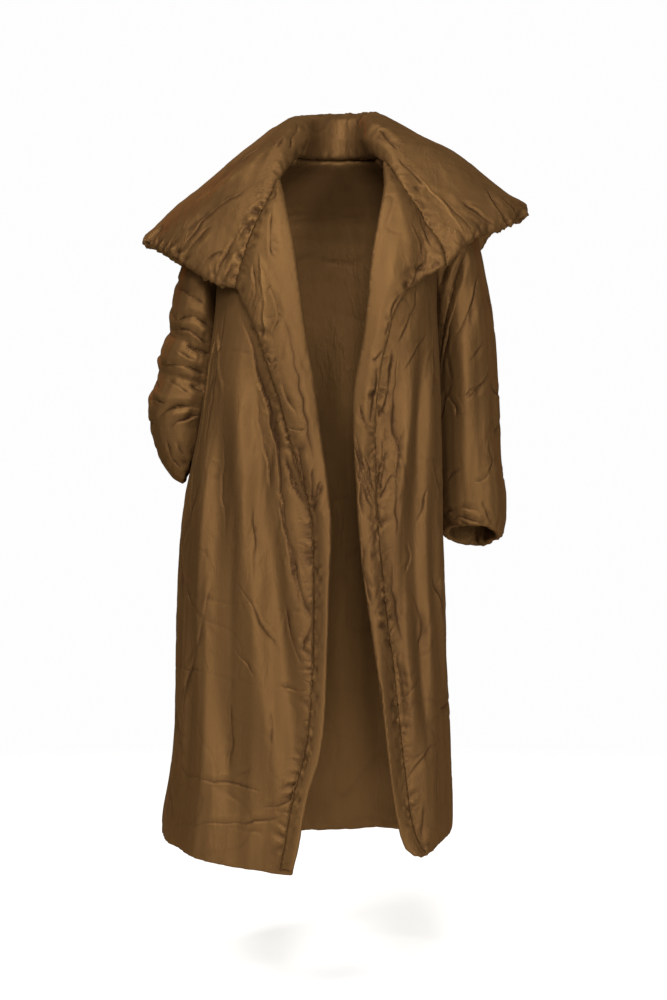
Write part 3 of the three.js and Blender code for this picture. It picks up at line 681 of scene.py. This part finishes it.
def rim_lines(node):
    """The solid's sharp edges, where its cloth is cut and sewn, as lines of even points."""
    work = welded(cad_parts[node].data)
    # A list in the mesh's own order, so that every run follows the lines the same way.
    sewn = [e for e in work.edges if len(e.link_faces) == 2 and e.calc_face_angle(0.0) > SEWN_ANGLE]
    left = set(sewn)
    at = {}
    for e in sewn:
        for v in e.verts:
            at.setdefault(v.index, []).append(e)
    work.verts.ensure_lookup_table()
    lines = []
    ends = [i for i in sorted(at) if len(at[i]) != 2]
    for start in ends + sorted(at):
        for first in at[start]:
            if first not in left:
                continue
            line = [start]
            edge = first
            while edge is not None and edge in left:
                left.discard(edge)
                far = edge.other_vert(work.verts[line[-1]]).index
                line.append(far)
                nexts = [e for e in at[far] if e in left]
                edge = nexts[0] if len(at[far]) == 2 and nexts else None
            lines.append(np.array([work.verts[i].co[:] for i in line]) * MM)
    work.free()
    return [even_line(line, RIM_STEP) for line in lines if run_along(line)[-1] > SHORTEST_RIM]


def sight(view, place):
    """The start and the direction of the line of sight through a place."""
    across, up = place
    if view == PHOTO:
        return EYE, np.array([(across - LEVEL_PIXEL[0]) / FOCAL, 1.0, -(up - LEVEL_PIXEL[1]) / FOCAL])
    if view == BACK:
        return np.array([across, OUTSIDE, up]), np.array([0.0, -1.0, 0.0])
    if view == LEFT:
        return np.array([OUTSIDE, across, up]), np.array([-1.0, 0.0, 0.0])
    return np.array([-OUTSIDE, across, up]), np.array([1.0, 0.0, 0.0])


def on_cloth(tree, view, places):
    """A line on the cloth's surface under given places, with the surface's normals."""
    points, normals = [], []
    for place in curved(places, FOLD_STEP[view]):
        start, aim = sight(view, place)
        hit, normal, _, _ = tree.ray_cast(Vector(start / MM), Vector(aim).normalized())
        if hit is not None:
            points.append(np.array(hit) * MM)
            normals.append(np.array(normal))
    return np.array(points), np.array(normals)


def creases(tree, view, places):
    """A crease as cloth makes it: the given line with an uneven wander, and shorter ones leaving it.

    Each comes with the surface's normals and its share of the depth."""
    line, facing = on_cloth(tree, view, places)
    if len(line) < 5:
        return []
    draw = np.random.default_rng(int(abs(places[0][0]) * 31 + abs(places[-1][1]) * 17))
    run = run_along(line)
    across = across_line(line, facing)
    cell = (run / WANDER_STEP).astype(int)
    share = smooth(run / WANDER_STEP - cell)
    knots = draw.uniform(-WANDER, WANDER, cell[-1] + 2)
    wander = knots[cell] * (1.0 - share) + knots[cell + 1] * share
    lines = [(line + across * wander[:, None], facing, 1.0)]
    for _ in range(sum(run[-1] > length for length in BRANCHES_FROM)):
        first = int(draw.uniform(*BRANCH_START) * (len(line) - 1))
        last = first + int(draw.uniform(*BRANCH_LENGTH) * len(line))
        slope = math.tan(math.radians(draw.uniform(*BRANCH_SLOPE))) * draw.choice([-1.0, 1.0])
        depth_share = draw.uniform(*BRANCH_DEPTH)
        rows = slice(first, last)
        off = wander[rows] + slope * (run[rows] - run[first])
        found = [tree.find_nearest(Vector(p / MM)) for p in line[rows] + across[rows] * off[:, None]]
        if len(found) > 3:
            points = np.array([hit[0] for hit in found]) * MM
            lines.append((points, np.array([hit[1] for hit in found]), depth_share))
    return lines


def press(cloth, line, facing, key, width, depth, deep=False, crisp=True):
    """One fold or crease: a trough (or a ridge, where depth is positive), steeper on one side, with lips.

    A deep one moves the whole thickness of the cloth; any other only the outer side that faces the view.
    A crisp one that isn't broad also leaves a fine line in the finish: a bump, and painted shade along a
    trough's bottom or a painted highlight along a ridge."""
    if len(line) < 3:
        return
    reach = width * FOLD_REACH
    near = cloth.within(line, reach)
    if not len(near):
        return
    tree_of_line = KDTree(len(line))
    for i, p in enumerate(line):
        tree_of_line.insert(p, i)
    tree_of_line.balance()
    found = np.array([tree_of_line.find(p)[1:] for p in cloth.points[near]])
    index, away = found[:, 0].astype(int), found[:, 1]
    near, index, away = near[away < reach], index[away < reach], away[away < reach]
    agree = np.einsum("ij,ij->i", cloth.normals[near], facing[index])
    side = np.einsum("ij,ij->i", cloth.points[near] - line[index], across_line(line, facing)[index])
    steep = 1.0 if int(key[0] + key[1]) % 2 else -1.0
    along = index / (len(line) - 1)
    fade = smooth(along / END_FADE) * smooth((1.0 - along) / END_FADE)
    unevenness = MEAN_DEPTH + DEPTH_VARIES * np.sin(along * DEPTH_TURNS + width + key[0])
    if deep:
        pointed = SHARPNESS if width < BROAD else ROLL_SHARPNESS
        lips = DEEP_LIP * bell((away - DEEP_LIP_OFF * width) / width)
        shape = np.exp(-((away / width) ** pointed)) - lips
    else:
        own_width = width * (1.0 + SKEW * steep * np.tanh(side / width))
        lips = LIP * bell((away - LIP_OFF * own_width) / (LIP_WIDE * own_width))
        shape = np.exp(-((away / own_width) ** SHARPNESS)) - lips
    height = depth * shape * fade * unevenness
    if width < BROAD and crisp:
        outer = agree > LINE_FACING
        strength = -np.sign(depth) * np.clip(abs(depth) / LINE_DEPTH, *LINE_STRENGTH) * fade * unevenness
        cloth.mark_fold(near[outer], np.where(side < 0.0, -away, away)[outer], strength[outer])
    if deep:
        cloth.points[near] += facing[index] * height[:, None]
    else:
        cloth.push(height * smooth((agree - FACING_FROM) / FACING_OVER), near)


def near_lines(cloth, lines, reach):
    """For each point: how far off the nearest line is, and how far along the lines it lies."""
    tree = KDTree(sum(len(line) for line in lines))
    along = []
    run = 0.0
    for line in lines:
        steps = run_along(line)
        for p, s in zip(line, steps):
            tree.insert(p, len(along))
            along.append(run + s)
        run += steps[-1] + RIM_GAP
    tree.balance()
    off = np.full(len(cloth.points), FAR_OFF)
    at = np.zeros(len(cloth.points))
    for i in cloth.within(np.concatenate(lines), reach):
        _, index, off[i] = tree.find(cloth.points[i])
        at[i] = along[index]
    return off, at, run


def everywhere(points):
    return np.ones(len(points))


def gather(cloth, lines, spacing, depth, reach, width, seed, strength=everywhere):
    """Uneven puckers beside sewn edges: short creases that run in from the seam, in clusters."""
    draw = np.random.default_rng(seed)
    off, at, run = near_lines(cloth, lines, reach * GATHER_REACH)
    near = np.where(off < reach * GATHER_REACH)[0]
    near = near[np.argsort(at[near])]
    d, s = off[near], at[near]
    height = np.zeros(len(near))
    place = 0.0
    while place < run:
        place += spacing * draw.uniform(*PUCKER_SPACING)
        wave = 0.9 * math.sin(place / CLUSTERS[0] + seed) * math.sin(place / CLUSTERS[1])
        cluster = 0.25 + 0.75 * smooth(0.5 + wave)
        own_reach = reach * draw.uniform(*PUCKER_REACH) * (0.6 + 0.4 * cluster)
        own_depth = depth * draw.uniform(*PUCKER_DEPTH) ** 1.4 * 1.3 * cluster
        own_width = width * draw.uniform(*PUCKER_WIDTH)
        slant = draw.uniform(-PUCKER_SLANT, PUCKER_SLANT)
        a, b = np.searchsorted(s, [place - own_reach - 25.0, place + own_reach + 25.0])
        t = s[a:b] - place - slant * d[a:b]
        wide = own_width * (1.0 + 0.6 * d[a:b] / own_reach)
        fall = smooth(1.0 - d[a:b] / own_reach) * (EDGE_SHARE + (1.0 - EDGE_SHARE) * smooth(d[a:b] / 7.0))
        shape = -np.exp(-((np.abs(t) / wide) ** SHARPNESS))
        shape += 0.5 * bell((t - 2.2 * wide) / wide) + 0.3 * bell((t + 2.2 * wide) / wide)
        height[a:b] += own_depth * shape * fall
    fine = smooth(1.0 - d / (1.2 * reach)) * (0.5 + 0.5 * smooth(d / 6.0)) * min(depth / FULL_PUCKER, 1.1)
    fine *= smooth(0.55 + 0.75 * np.sin(s / FINE_CLUSTERS[0] + seed) * np.sin(s / FINE_CLUSTERS[1] + 1.0))
    share = strength(cloth.points[near])
    cloth.mark_seam(near, s, d, fine * share)
    lowest, highest = PUCKER_LIMITS
    cloth.push(np.clip(height * share, lowest * depth, highest * depth), near)


def soft_noise(points, sizes, seed):
    """Smooth seeded noise from -1 to 1, with its own grain in each direction."""
    draw = np.random.default_rng(seed)
    values = draw.uniform(-1.0, 1.0, NOISE_VALUES)
    q = points @ GRAIN_TURN / np.array(sizes) + draw.uniform(0.0, 50.0, 3)
    cell = np.floor(q).astype(np.int64)
    t = smooth(q - cell)
    total = np.zeros(len(points))
    for corner in np.ndindex(2, 2, 2):
        code = np.zeros(len(points), dtype=np.int64)
        share = np.ones(len(points))
        for k, far in enumerate(corner):
            code ^= (cell[:, k] + far) * NOISE_CODES[k]
            share *= t[:, k] if far else 1.0 - t[:, k]
        total += values[code & (NOISE_VALUES - 1)] * share
    return total


def crumple(cloth, sizes, sharp, depth, seed):
    """Fine long creases that wander, in patches, as stiff thin cloth over padding has."""
    lines = soft_noise(cloth.points, sizes, seed)
    patches = smooth((soft_noise(cloth.points, [s * 1.7 for s in sizes], seed + 1) + 0.15) / 0.5)
    cloth.push(-depth * bell(lines / sharp) * patches)


def sway(cloth, sizes, depth, seed, strength=everywhere):
    """Moves both sides of the cloth together, the same way in every piece, so that seams stay closed."""
    moves = np.stack([soft_noise(cloth.points, sizes, seed + k) for k in range(3)], axis=1) * depth
    cloth.points += moves * strength(cloth.points)[:, None]
    cloth.write()


def puff(cloth, lines):
    """The padding stands proud of the seams."""
    off, _, _ = near_lines(cloth, lines, PUFF_REACH * 3.0)
    cloth.push(PUFF * (1.0 - np.exp(-off / PUFF_REACH)))
    cloth.relief[:] = 0.0
    cloth.write()


# where on the coat
def by_hem(points):
    return smooth((-points[:, 2] - 1150.0) / 140.0)


def by_left_cuff(points):
    """The left cuff, low and far out to the left."""
    low = smooth((-points[:, 2] - 655.0) / 60.0)
    return smooth((points[:, 0] - 205.0) / 20.0) * low * smooth((points[:, 2] + 800.0) / 30.0)


def across_facing(points, side):
    """Where points lie across the facing: 0 at the opening's fold, 1 at the sewn outer edge."""
    levels, folds, outers = np.array(OPENING[side], dtype=float).T
    fold = np.interp(points[:, 2], levels, folds)
    outer = np.interp(points[:, 2], levels, outers)
    return (points[:, 0] - fold) / (outer - fold), np.abs(points[:, 0] - outer)


# each kind of piece: its puckers and fine creases
def front_surface(cloth, side):
    def by_seam(points):
        share, _ = across_facing(points, side)
        return smooth((share - 0.5) / 0.3) * (0.45 + 0.55 * smooth((-points[:, 2] - 380.0) / 120.0))

    def off_seam(points):
        return 1.0 - by_seam(points)

    band, panel = RIMS["facing_" + side], RIMS["front_" + side]
    gather(cloth, band, spacing=13.0, depth=4.6, reach=34.0, width=3.6, seed=SEED + 3, strength=by_seam)
    gather(cloth, panel, spacing=26.0, depth=1.8, reach=24.0, width=4.0, seed=SEED + 4, strength=off_seam)
    crumple(cloth, (80.0, 80.0, 190.0), sharp=0.035, depth=0.9, seed=SEED + 5)
    crumple(cloth, (110.0, 110.0, 70.0), sharp=0.03, depth=0.8, seed=SEED + 7)


def facing_surface(cloth, side):
    """The narrow band is sewn down flat at its outer edge; the lapel above keeps its full padding."""
    def by_edge(points):
        return smooth((across_facing(points, side)[0] - 0.25) / 0.35)

    rims = RIMS["facing_" + side]
    _, off = across_facing(cloth.points, side)
    band = smooth((-cloth.points[:, 2] - 470.0) / 90.0)
    faces_front = smooth((-cloth.normals[:, 1] + 0.1) / 0.5)
    cloth.points[:, 1] += BAND_DIP * bell(off / BAND_DIP_WIDE) * band * faces_front
    rim_off, _, _ = near_lines(cloth, rims, LAPEL_ROUND)
    crown = 1.0 - np.exp(-np.minimum(rim_off, LAPEL_FLAT) / LAPEL_ROUND)
    relief = cloth.relief.copy()
    cloth.push(LAPEL_CROWN * crown * (1.0 - band) * faces_front)
    cloth.relief[:] = relief
    cloth.write()
    gather(cloth, rims, spacing=12.0, depth=4.2, reach=26.0, width=3.8, seed=SEED + 11, strength=by_edge)
    crumple(cloth, (36.0, 36.0, 110.0), sharp=0.06, depth=0.8, seed=SEED + 12)


def sleeve_surface(cloth, side):
    rims = RIMS["sleeve_" + side]
    if side == "right":
        gather(cloth, rims, spacing=16.0, depth=3.6, reach=30.0, width=4.4, seed=SEED + 21)
        crumple(cloth, (90.0, 60.0, 34.0), sharp=0.09, depth=1.6, seed=SEED + 22)
        crumple(cloth, (50.0, 50.0, 50.0), sharp=0.06, depth=0.9, seed=SEED + 24)
    else:
        gather(cloth, rims, spacing=15.0, depth=3.6, reach=30.0, width=4.4, seed=SEED + 31)
        crumple(cloth, (60.0, 60.0, 90.0), sharp=0.06, depth=0.9, seed=SEED + 32)
        crumple(cloth, (60.0, 40.0, 60.0), sharp=0.05, depth=0.7, seed=SEED + 34)


def collar_surface(cloth, _):
    def toward_ends(points):
        return 0.4 + 0.6 * smooth((np.abs(points[:, 0] + 10.0) - 120.0) / 60.0)

    rims = RIMS["collar"]
    gather(cloth, rims, spacing=11.5, depth=7.6, reach=42.0, width=3.8, seed=SEED + 51, strength=toward_ends)
    crumple(cloth, (60.0, 60.0, 60.0), sharp=0.05, depth=0.9, seed=SEED + 52)


def back_surface(cloth, _):
    gather(cloth, RIMS["back"], spacing=24.0, depth=2.4, reach=26.0, width=5.0, seed=SEED + 61)
    crumple(cloth, (60.0, 60.0, 170.0), sharp=0.06, depth=1.0, seed=SEED + 62)
    crumple(cloth, (100.0, 100.0, 70.0), sharp=0.05, depth=0.9, seed=SEED + 64)


SURFACES = {
    "back": back_surface,
    "front": front_surface,
    "facing": facing_surface,
    "sleeve": sleeve_surface,
    "collar": collar_surface,
}


# the pieces
def folds_of(node, table):
    """The piece's own rows of a table of folds, each with the view it is placed in."""
    return [(view, *row) for (piece, view), rows in table.items() if piece == node for row in rows]


def shape_piece(node):
    """One piece of the coat, from its solid to its finished surface."""
    piece = even_copy(node, "padded_" + node, SQUARES[node])
    cloth = Cloth(piece)
    cloth.relax()
    puff(cloth, RIMS[node])
    tree = cloth.tree()
    for view, width, depth, places in folds_of(node, DEEP_FOLDS):
        line, facing = on_cloth(tree, view, places)
        press(cloth, line, facing, places[0], width, depth, deep=True)
    cloth.write()
    tree = cloth.tree()
    for view, width, depth, places in folds_of(node, CREASES):
        for line, facing, share in creases(tree, view, places):
            own_depth = depth * CREASE_DEPTH * share
            press(cloth, line, facing, places[0], width * CREASE_WIDTH, own_depth, crisp=share == 1.0)
    cloth.write()
    kind, _, side = node.partition("_")
    SURFACES[kind](cloth, side)
    cloth.write()
    sway(cloth, (85.0, 85.0, 190.0), depth=2.4, seed=SEED + 81)
    sway(cloth, (46.0, 46.0, 60.0), depth=3.4, seed=SEED + 85, strength=by_hem)
    sway(cloth, (24.0, 24.0, 40.0), depth=4.2, seed=SEED + 89, strength=by_left_cuff)
    cloth.keep_marks()
    piece.data.materials.clear()
    piece.data.materials.append(SHELL_CLOTH)
    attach(piece, "root")
    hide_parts(node)


# materials
FLOAT, VECTOR, COLOUR = "NodeSocketFloat", "NodeSocketVector", "NodeSocketColor"


def new_group(name, inputs, outputs):
    """An empty group with named inputs (kind and default) and outputs (kind), and its two end nodes."""
    group = bpy.data.node_groups.new(name, "ShaderNodeTree")
    for socket, (kind, default) in inputs.items():
        made = group.interface.new_socket(name=socket, in_out="INPUT", socket_type=kind)
        if default is not None:
            made.default_value = default
    for socket, kind in outputs.items():
        group.interface.new_socket(name=socket, in_out="OUTPUT", socket_type=kind)
    return group, group.nodes.new("NodeGroupInput"), group.nodes.new("NodeGroupOutput")


def placed(tree, group):
    node = tree.nodes.new("ShaderNodeGroup")
    node.node_tree = group
    return node


def joined(tree, source, target):
    tree.links.new(source, target)


def maths(tree, kind, *values):
    """One sum on sockets or plain numbers."""
    node = tree.nodes.new("ShaderNodeMath")
    node.operation = kind
    for target, value in zip(node.inputs, values):
        if isinstance(value, (int, float)):
            target.default_value = value
        else:
            joined(tree, value, target)
    return node.outputs[0]


def split_place(tree, place):
    split = tree.nodes.new("ShaderNodeSeparateXYZ")
    joined(tree, place, split.inputs[0])
    return split.outputs


def mixed(tree, amount, first, second):
    """A colour between two, each from a socket or given as plain values."""
    node = tree.nodes.new("ShaderNodeMix")
    node.data_type = "RGBA"
    joined(tree, amount, node.inputs["Factor"])
    for target, colour in ((node.inputs["A"], first), (node.inputs["B"], second)):
        if isinstance(colour, tuple):
            target.default_value = (*colour, 1.0)
        else:
            joined(tree, colour, target)
    return node.outputs["Result"]


def noise(tree, place, scale, detail=2.0, rough=0.5, stretch=(1.0, 1.0, 1.0)):
    mapping = tree.nodes.new("ShaderNodeMapping")
    mapping.inputs["Scale"].default_value = stretch
    joined(tree, place, mapping.inputs["Vector"])
    node = tree.nodes.new("ShaderNodeTexNoise")
    node.inputs["Scale"].default_value = scale
    node.inputs["Detail"].default_value = detail
    node.inputs["Roughness"].default_value = rough
    joined(tree, mapping.outputs[0], node.inputs["Vector"])
    return node.outputs[0]


def ramp(tree, value, stops):
    node = tree.nodes.new("ShaderNodeValToRGB")
    elements = node.color_ramp.elements
    while len(elements) < len(stops):
        elements.new(0.5)
    for element, (place, level) in zip(elements, stops):
        element.position = place
        element.color = (level, level, level, 1.0)
    joined(tree, value, node.inputs[0])
    return node.outputs[0]


def bump(tree, height, strength_and_distance, under=None):
    """One layer of relief in the finish, over the one under it."""
    node = tree.nodes.new("ShaderNodeBump")
    node.inputs["Strength"].default_value, node.inputs["Distance"].default_value = strength_and_distance
    joined(tree, height, node.inputs["Height"])
    if under is not None:
        joined(tree, under, node.inputs["Normal"])
    return node.outputs["Normal"]


def exp_fall(tree, value, power):
    """1 where the value is 0, falling off the faster the higher the power."""
    return maths(tree, "EXPONENT", maths(tree, "MULTIPLY", maths(tree, "POWER", value, power), -1.0))


def taffeta_weave():
    """Fine crosswise ribs with uneven threads, and small puckers in the shell cloth."""
    inputs = {"Place": (VECTOR, None), "Rib": (FLOAT, RIBS)}
    group, start, end = new_group("taffeta weave", inputs, {"Height": FLOAT, "Wrinkle": FLOAT})
    place, rib = start.outputs["Place"], start.outputs["Rib"]
    x, y, z = split_place(group, place)
    level = maths(group, "ADD", z, maths(group, "MULTIPLY", y, 0.45))
    cross = maths(group, "SINE", maths(group, "MULTIPLY", level, maths(group, "MULTIPLY", rib, 6.283)))
    over = maths(group, "ADD", x, maths(group, "MULTIPLY", y, 0.8))
    warp = maths(group, "SINE", maths(group, "MULTIPLY", over, maths(group, "MULTIPLY", rib, 9.4)))
    woven = maths(group, "MULTIPLY_ADD", warp, 0.4, cross)
    slub = noise(group, place, 160.0, 3.0, 0.6, (1.0, 1.0, 6.0))
    joined(group, maths(group, "MULTIPLY_ADD", slub, 1.4, woven), end.inputs["Height"])
    fine = noise(group, place, 26.0, 4.0, 0.55, (1.0, 1.0, 0.34))
    ridge = ramp(group, fine, [(0.45, 0.0), (0.5, 1.0), (0.55, 0.0)])
    patch = ramp(group, noise(group, place, 7.0), [(0.42, 0.0), (0.62, 1.0)])
    creased = maths(group, "MULTIPLY", ridge, patch)
    soft = noise(group, place, 48.0, 3.0, 0.5, (1.0, 1.0, 0.5))
    joined(group, maths(group, "MULTIPLY_ADD", creased, 0.55, soft), end.inputs["Wrinkle"])
    return group


def fold_lines():
    """The sharp bottoms and lips of folds and the fine puckers by the seams, finer than the mesh, with
    painted shade along their bottoms and a painted highlight along ridges.
    """
    inputs = {name: (FLOAT, 0.0) for name in ("Side", "Depth", "Along", "Off", "Pucker")}
    group, start, end = new_group("fold lines", inputs, {"Height": FLOAT, "Line": FLOAT})
    side, depth, pucker = (start.outputs[name] for name in ("Side", "Depth", "Pucker"))
    away = maths(group, "DIVIDE", maths(group, "ABSOLUTE", side), 1.7)
    core = maths(group, "MULTIPLY", depth, exp_fall(group, away, 1.3))
    by_lip = maths(group, "ABSOLUTE", maths(group, "DIVIDE", maths(group, "SUBTRACT", side, 4.4), 2.6))
    lip = maths(group, "MULTIPLY", depth, exp_fall(group, by_lip, 2.0))
    fold = maths(group, "MULTIPLY_ADD", lip, 0.5, maths(group, "MULTIPLY", core, -1.0))
    place = group.nodes.new("ShaderNodeCombineXYZ")
    joined(group, maths(group, "DIVIDE", start.outputs["Along"], 19.0), place.inputs[0])
    joined(group, maths(group, "DIVIDE", start.outputs["Off"], 46.0), place.inputs[1])
    drift = noise(group, place.outputs[0], 1.0, 1.4)
    steep = maths(group, "MULTIPLY", maths(group, "ABSOLUTE", maths(group, "SUBTRACT", drift, 0.5)), 5.5)
    cut = maths(group, "MINIMUM", steep, 1.0)
    joined(group, maths(group, "ADD", fold, maths(group, "MULTIPLY", pucker, cut)), end.inputs["Height"])
    # The second output is painted shade along fold bottoms and pucker troughs, and a painted highlight along
    # ridge creases.
    trough = maths(group, "MULTIPLY", pucker, maths(group, "SUBTRACT", 1.0, cut))
    joined(group, maths(group, "MULTIPLY_ADD", trough, 0.6, core), end.inputs["Line"])
    return group


def tone_and_painted_shade():
    """How the brown drifts over the cloth: broad soft patches, fine streaks along it and dust; over these,
    painted shade in hollows, fold bottoms and pucker troughs, and a painted highlight on ridges.
    """
    inputs = {
        "Place": (VECTOR, None),
        "Deep": (COLOUR, None),
        "Light": (COLOUR, None),
        "Relief": (FLOAT, 0.5),
        "Line": (FLOAT, 0.0),
    }
    group, start, end = new_group("tone and painted shade", inputs, {"Colour": COLOUR, "Roughness": FLOAT})
    place = start.outputs["Place"]
    broad = noise(group, place, 3.2, 3.0, 0.5, (1.0, 1.0, 0.4))
    streak = noise(group, place, 60.0, 4.0, 0.6, (1.0, 1.0, 0.06))
    speck = noise(group, place, 900.0, 2.0, 0.6)
    amount = maths(group, "MULTIPLY_ADD", broad, 0.7, maths(group, "MULTIPLY", streak, 0.3))
    amount = maths(group, "MULTIPLY_ADD", maths(group, "SUBTRACT", speck, 0.5), 0.35, amount)
    # Painted shade in hollows and a painted highlight on ridges, from the relief.
    amount = maths(group, "MULTIPLY_ADD", maths(group, "SUBTRACT", start.outputs["Relief"], 0.5), 1.0, amount)
    # Painted shade along fold bottoms and pucker troughs, and a painted highlight along ridge creases.
    amount = maths(group, "MULTIPLY_ADD", start.outputs["Line"], -0.38, amount)
    colour = mixed(group, amount, start.outputs["Deep"], start.outputs["Light"])
    joined(group, colour, end.inputs["Colour"])
    rough = maths(group, "MULTIPLY_ADD", broad, 0.16, maths(group, "MULTIPLY", streak, 0.1))
    joined(group, rough, end.inputs["Roughness"])
    return group


def satin_shell():
    """The coat's cloth: a satin-faced taffeta over padding."""
    material = bpy.data.materials.new("satin shell")
    material.use_nodes = True
    tree = material.node_tree
    shader = tree.nodes["Principled BSDF"]
    place = tree.nodes.new("ShaderNodeTexCoord").outputs["Object"]
    shade = placed(tree, tone_and_painted_shade())
    folds = placed(tree, fold_lines())
    weave = placed(tree, taffeta_weave())
    shade.inputs["Deep"].default_value = (*DARK_BROWN_AND_PAINTED_SHADE, 1.0)
    shade.inputs["Light"].default_value = (*LIGHT_BROWN_AND_PAINTED_HIGHLIGHT, 1.0)
    # The relief mark paints shade into hollows and a highlight onto ridges; the fold marks paint them along
    # the fold lines.
    reads = {
        "relief": shade.inputs["Relief"],
        "fold side": folds.inputs["Side"],
        "fold depth": folds.inputs["Depth"],
        "seam along": folds.inputs["Along"],
        "seam off": folds.inputs["Off"],
        "pucker": folds.inputs["Pucker"],
    }
    for mark, target in reads.items():
        read = tree.nodes.new("ShaderNodeAttribute")
        read.attribute_name = mark
        joined(tree, read.outputs["Fac"], target)
    # The painted shade and highlight along the fold lines go into the colour.
    joined(tree, folds.outputs["Line"], shade.inputs["Line"])
    joined(tree, place, shade.inputs["Place"])
    joined(tree, place, weave.inputs["Place"])
    edge = tree.nodes.new("ShaderNodeLayerWeight")
    edge.inputs["Blend"].default_value = EDGE_BLEND
    turned = maths(tree, "MULTIPLY", edge.outputs["Facing"], TURNED_SHARE)
    joined(tree, mixed(tree, turned, shade.outputs["Colour"], TURNED), shader.inputs["Base Color"])
    joined(tree, maths(tree, "ADD", shade.outputs["Roughness"], ROUGHNESS), shader.inputs["Roughness"])
    normal = bump(tree, folds.outputs["Height"], FOLD_RELIEF)
    normal = bump(tree, weave.outputs["Wrinkle"], WRINKLE_RELIEF, normal)
    normal = bump(tree, weave.outputs["Height"], THREAD_RELIEF, normal)
    joined(tree, normal, shader.inputs["Normal"])
    facing_share = maths(tree, "MULTIPLY_ADD", edge.outputs["Facing"], *SHEEN_FADE)
    facing_share = maths(tree, "MAXIMUM", maths(tree, "MINIMUM", facing_share, 1.0), 0.0)
    joined(tree, maths(tree, "MULTIPLY", facing_share, SHEEN), shader.inputs["Metallic"])
    shader.inputs["Specular IOR Level"].default_value = 0.0
    shader.inputs["Specular Tint"].default_value = (*EDGE_TINT, 1.0)
    return material


# floor, light and camera
def pale_floor():
    """A round pale floor that fades into the surround at its rim."""
    mesh = bpy.data.meshes.new("floor")
    disc = bmesh.new()
    bmesh.ops.create_circle(disc, cap_ends=True, segments=96, radius=FLOOR_RADIUS)
    bmesh.ops.translate(disc, verts=disc.verts, vec=(0.0, 0.0, GROUND / MM))
    disc.to_mesh(mesh)
    disc.free()
    floor = bpy.data.objects.new("floor", mesh)
    bpy.context.scene.collection.objects.link(floor)
    material = bpy.data.materials.new("pale floor")
    material.use_nodes = True
    tree = material.node_tree
    shader = tree.nodes["Principled BSDF"]
    shader.inputs["Base Color"].default_value = (*FLOOR_PALE, 1.0)
    shader.inputs["Roughness"].default_value = FLOOR_ROUGHNESS
    shader.inputs["Emission Color"].default_value = (*WHITE, 1.0)
    shader.inputs["Emission Strength"].default_value = FLOOR_GLOW
    x, y, _ = split_place(tree, tree.nodes.new("ShaderNodeTexCoord").outputs["Object"])
    square = maths(tree, "ADD", maths(tree, "POWER", x, 2.0), maths(tree, "POWER", y, 2.0))
    away = maths(tree, "DIVIDE", maths(tree, "SQRT", square), FLOOR_RADIUS)
    joined(tree, ramp(tree, away, [(0.3, 1.0), (0.95, 0.0)]), shader.inputs["Alpha"])
    mesh.materials.append(material)


def soft_light(name, place, aim, size, power, tint):
    lamp = bpy.data.lights.new(name, "AREA")
    lamp.shape = "RECTANGLE"
    lamp.size, lamp.size_y = size
    lamp.energy = power
    lamp.color = tint
    light = bpy.data.objects.new(name, lamp)
    light.location = place
    light.rotation_euler = (Vector(aim) - Vector(place)).to_track_quat("-Z", "Y").to_euler()
    bpy.context.scene.collection.objects.link(light)


def studio():
    """A plain pale surround and soft lamps."""
    world = bpy.data.worlds.new("pale surround")
    world.use_nodes = True
    tree = world.node_tree
    tree.nodes.clear()
    out = tree.nodes.new("ShaderNodeOutputWorld")
    mix = tree.nodes.new("ShaderNodeMixShader")
    joined(tree, tree.nodes.new("ShaderNodeLightPath").outputs["Is Camera Ray"], mix.inputs[0])
    for socket, strength in ((1, SURROUND_LIT), (2, SURROUND_SEEN)):
        background = tree.nodes.new("ShaderNodeBackground")
        background.inputs["Color"].default_value = (*WHITE, 1.0)
        background.inputs["Strength"].default_value = strength
        joined(tree, background.outputs[0], mix.inputs[socket])
    joined(tree, mix.outputs[0], out.inputs["Surface"])
    bpy.context.scene.world = world
    for name, values in LAMPS.items():
        soft_light(name, *values)
    bpy.context.scene.view_settings.view_transform = "Standard"


def camera():
    data = bpy.data.cameras.new("camera")
    data.sensor_fit = "VERTICAL"
    data.sensor_height = SENSOR
    data.sensor_width = SENSOR
    data.lens = FOCAL / LONG_SIDE * SENSOR
    data.dof.use_dof = False
    data.clip_end = CLIP_END
    eye = bpy.data.objects.new("camera", data)
    eye.location = Vector(EYE / MM)
    _, aim = sight(PHOTO, MIDDLE_PIXEL)
    eye.rotation_mode = "QUATERNION"
    eye.rotation_quaternion = Vector(aim).to_track_quat("-Z", "Y")
    bpy.context.scene.collection.objects.link(eye)
    bpy.context.scene.camera = eye


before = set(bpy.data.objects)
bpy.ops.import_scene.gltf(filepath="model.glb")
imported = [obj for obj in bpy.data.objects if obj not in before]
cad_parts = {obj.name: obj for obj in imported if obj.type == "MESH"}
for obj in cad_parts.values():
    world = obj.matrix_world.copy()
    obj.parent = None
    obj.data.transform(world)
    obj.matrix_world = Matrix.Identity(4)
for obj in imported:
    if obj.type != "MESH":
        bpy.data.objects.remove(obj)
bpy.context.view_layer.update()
SHELL_CLOTH = satin_shell()
RIMS = {node: rim_lines(node) for node in SQUARES}
for node in SQUARES:
    shape_piece(node)
camera()
pale_floor()
studio()
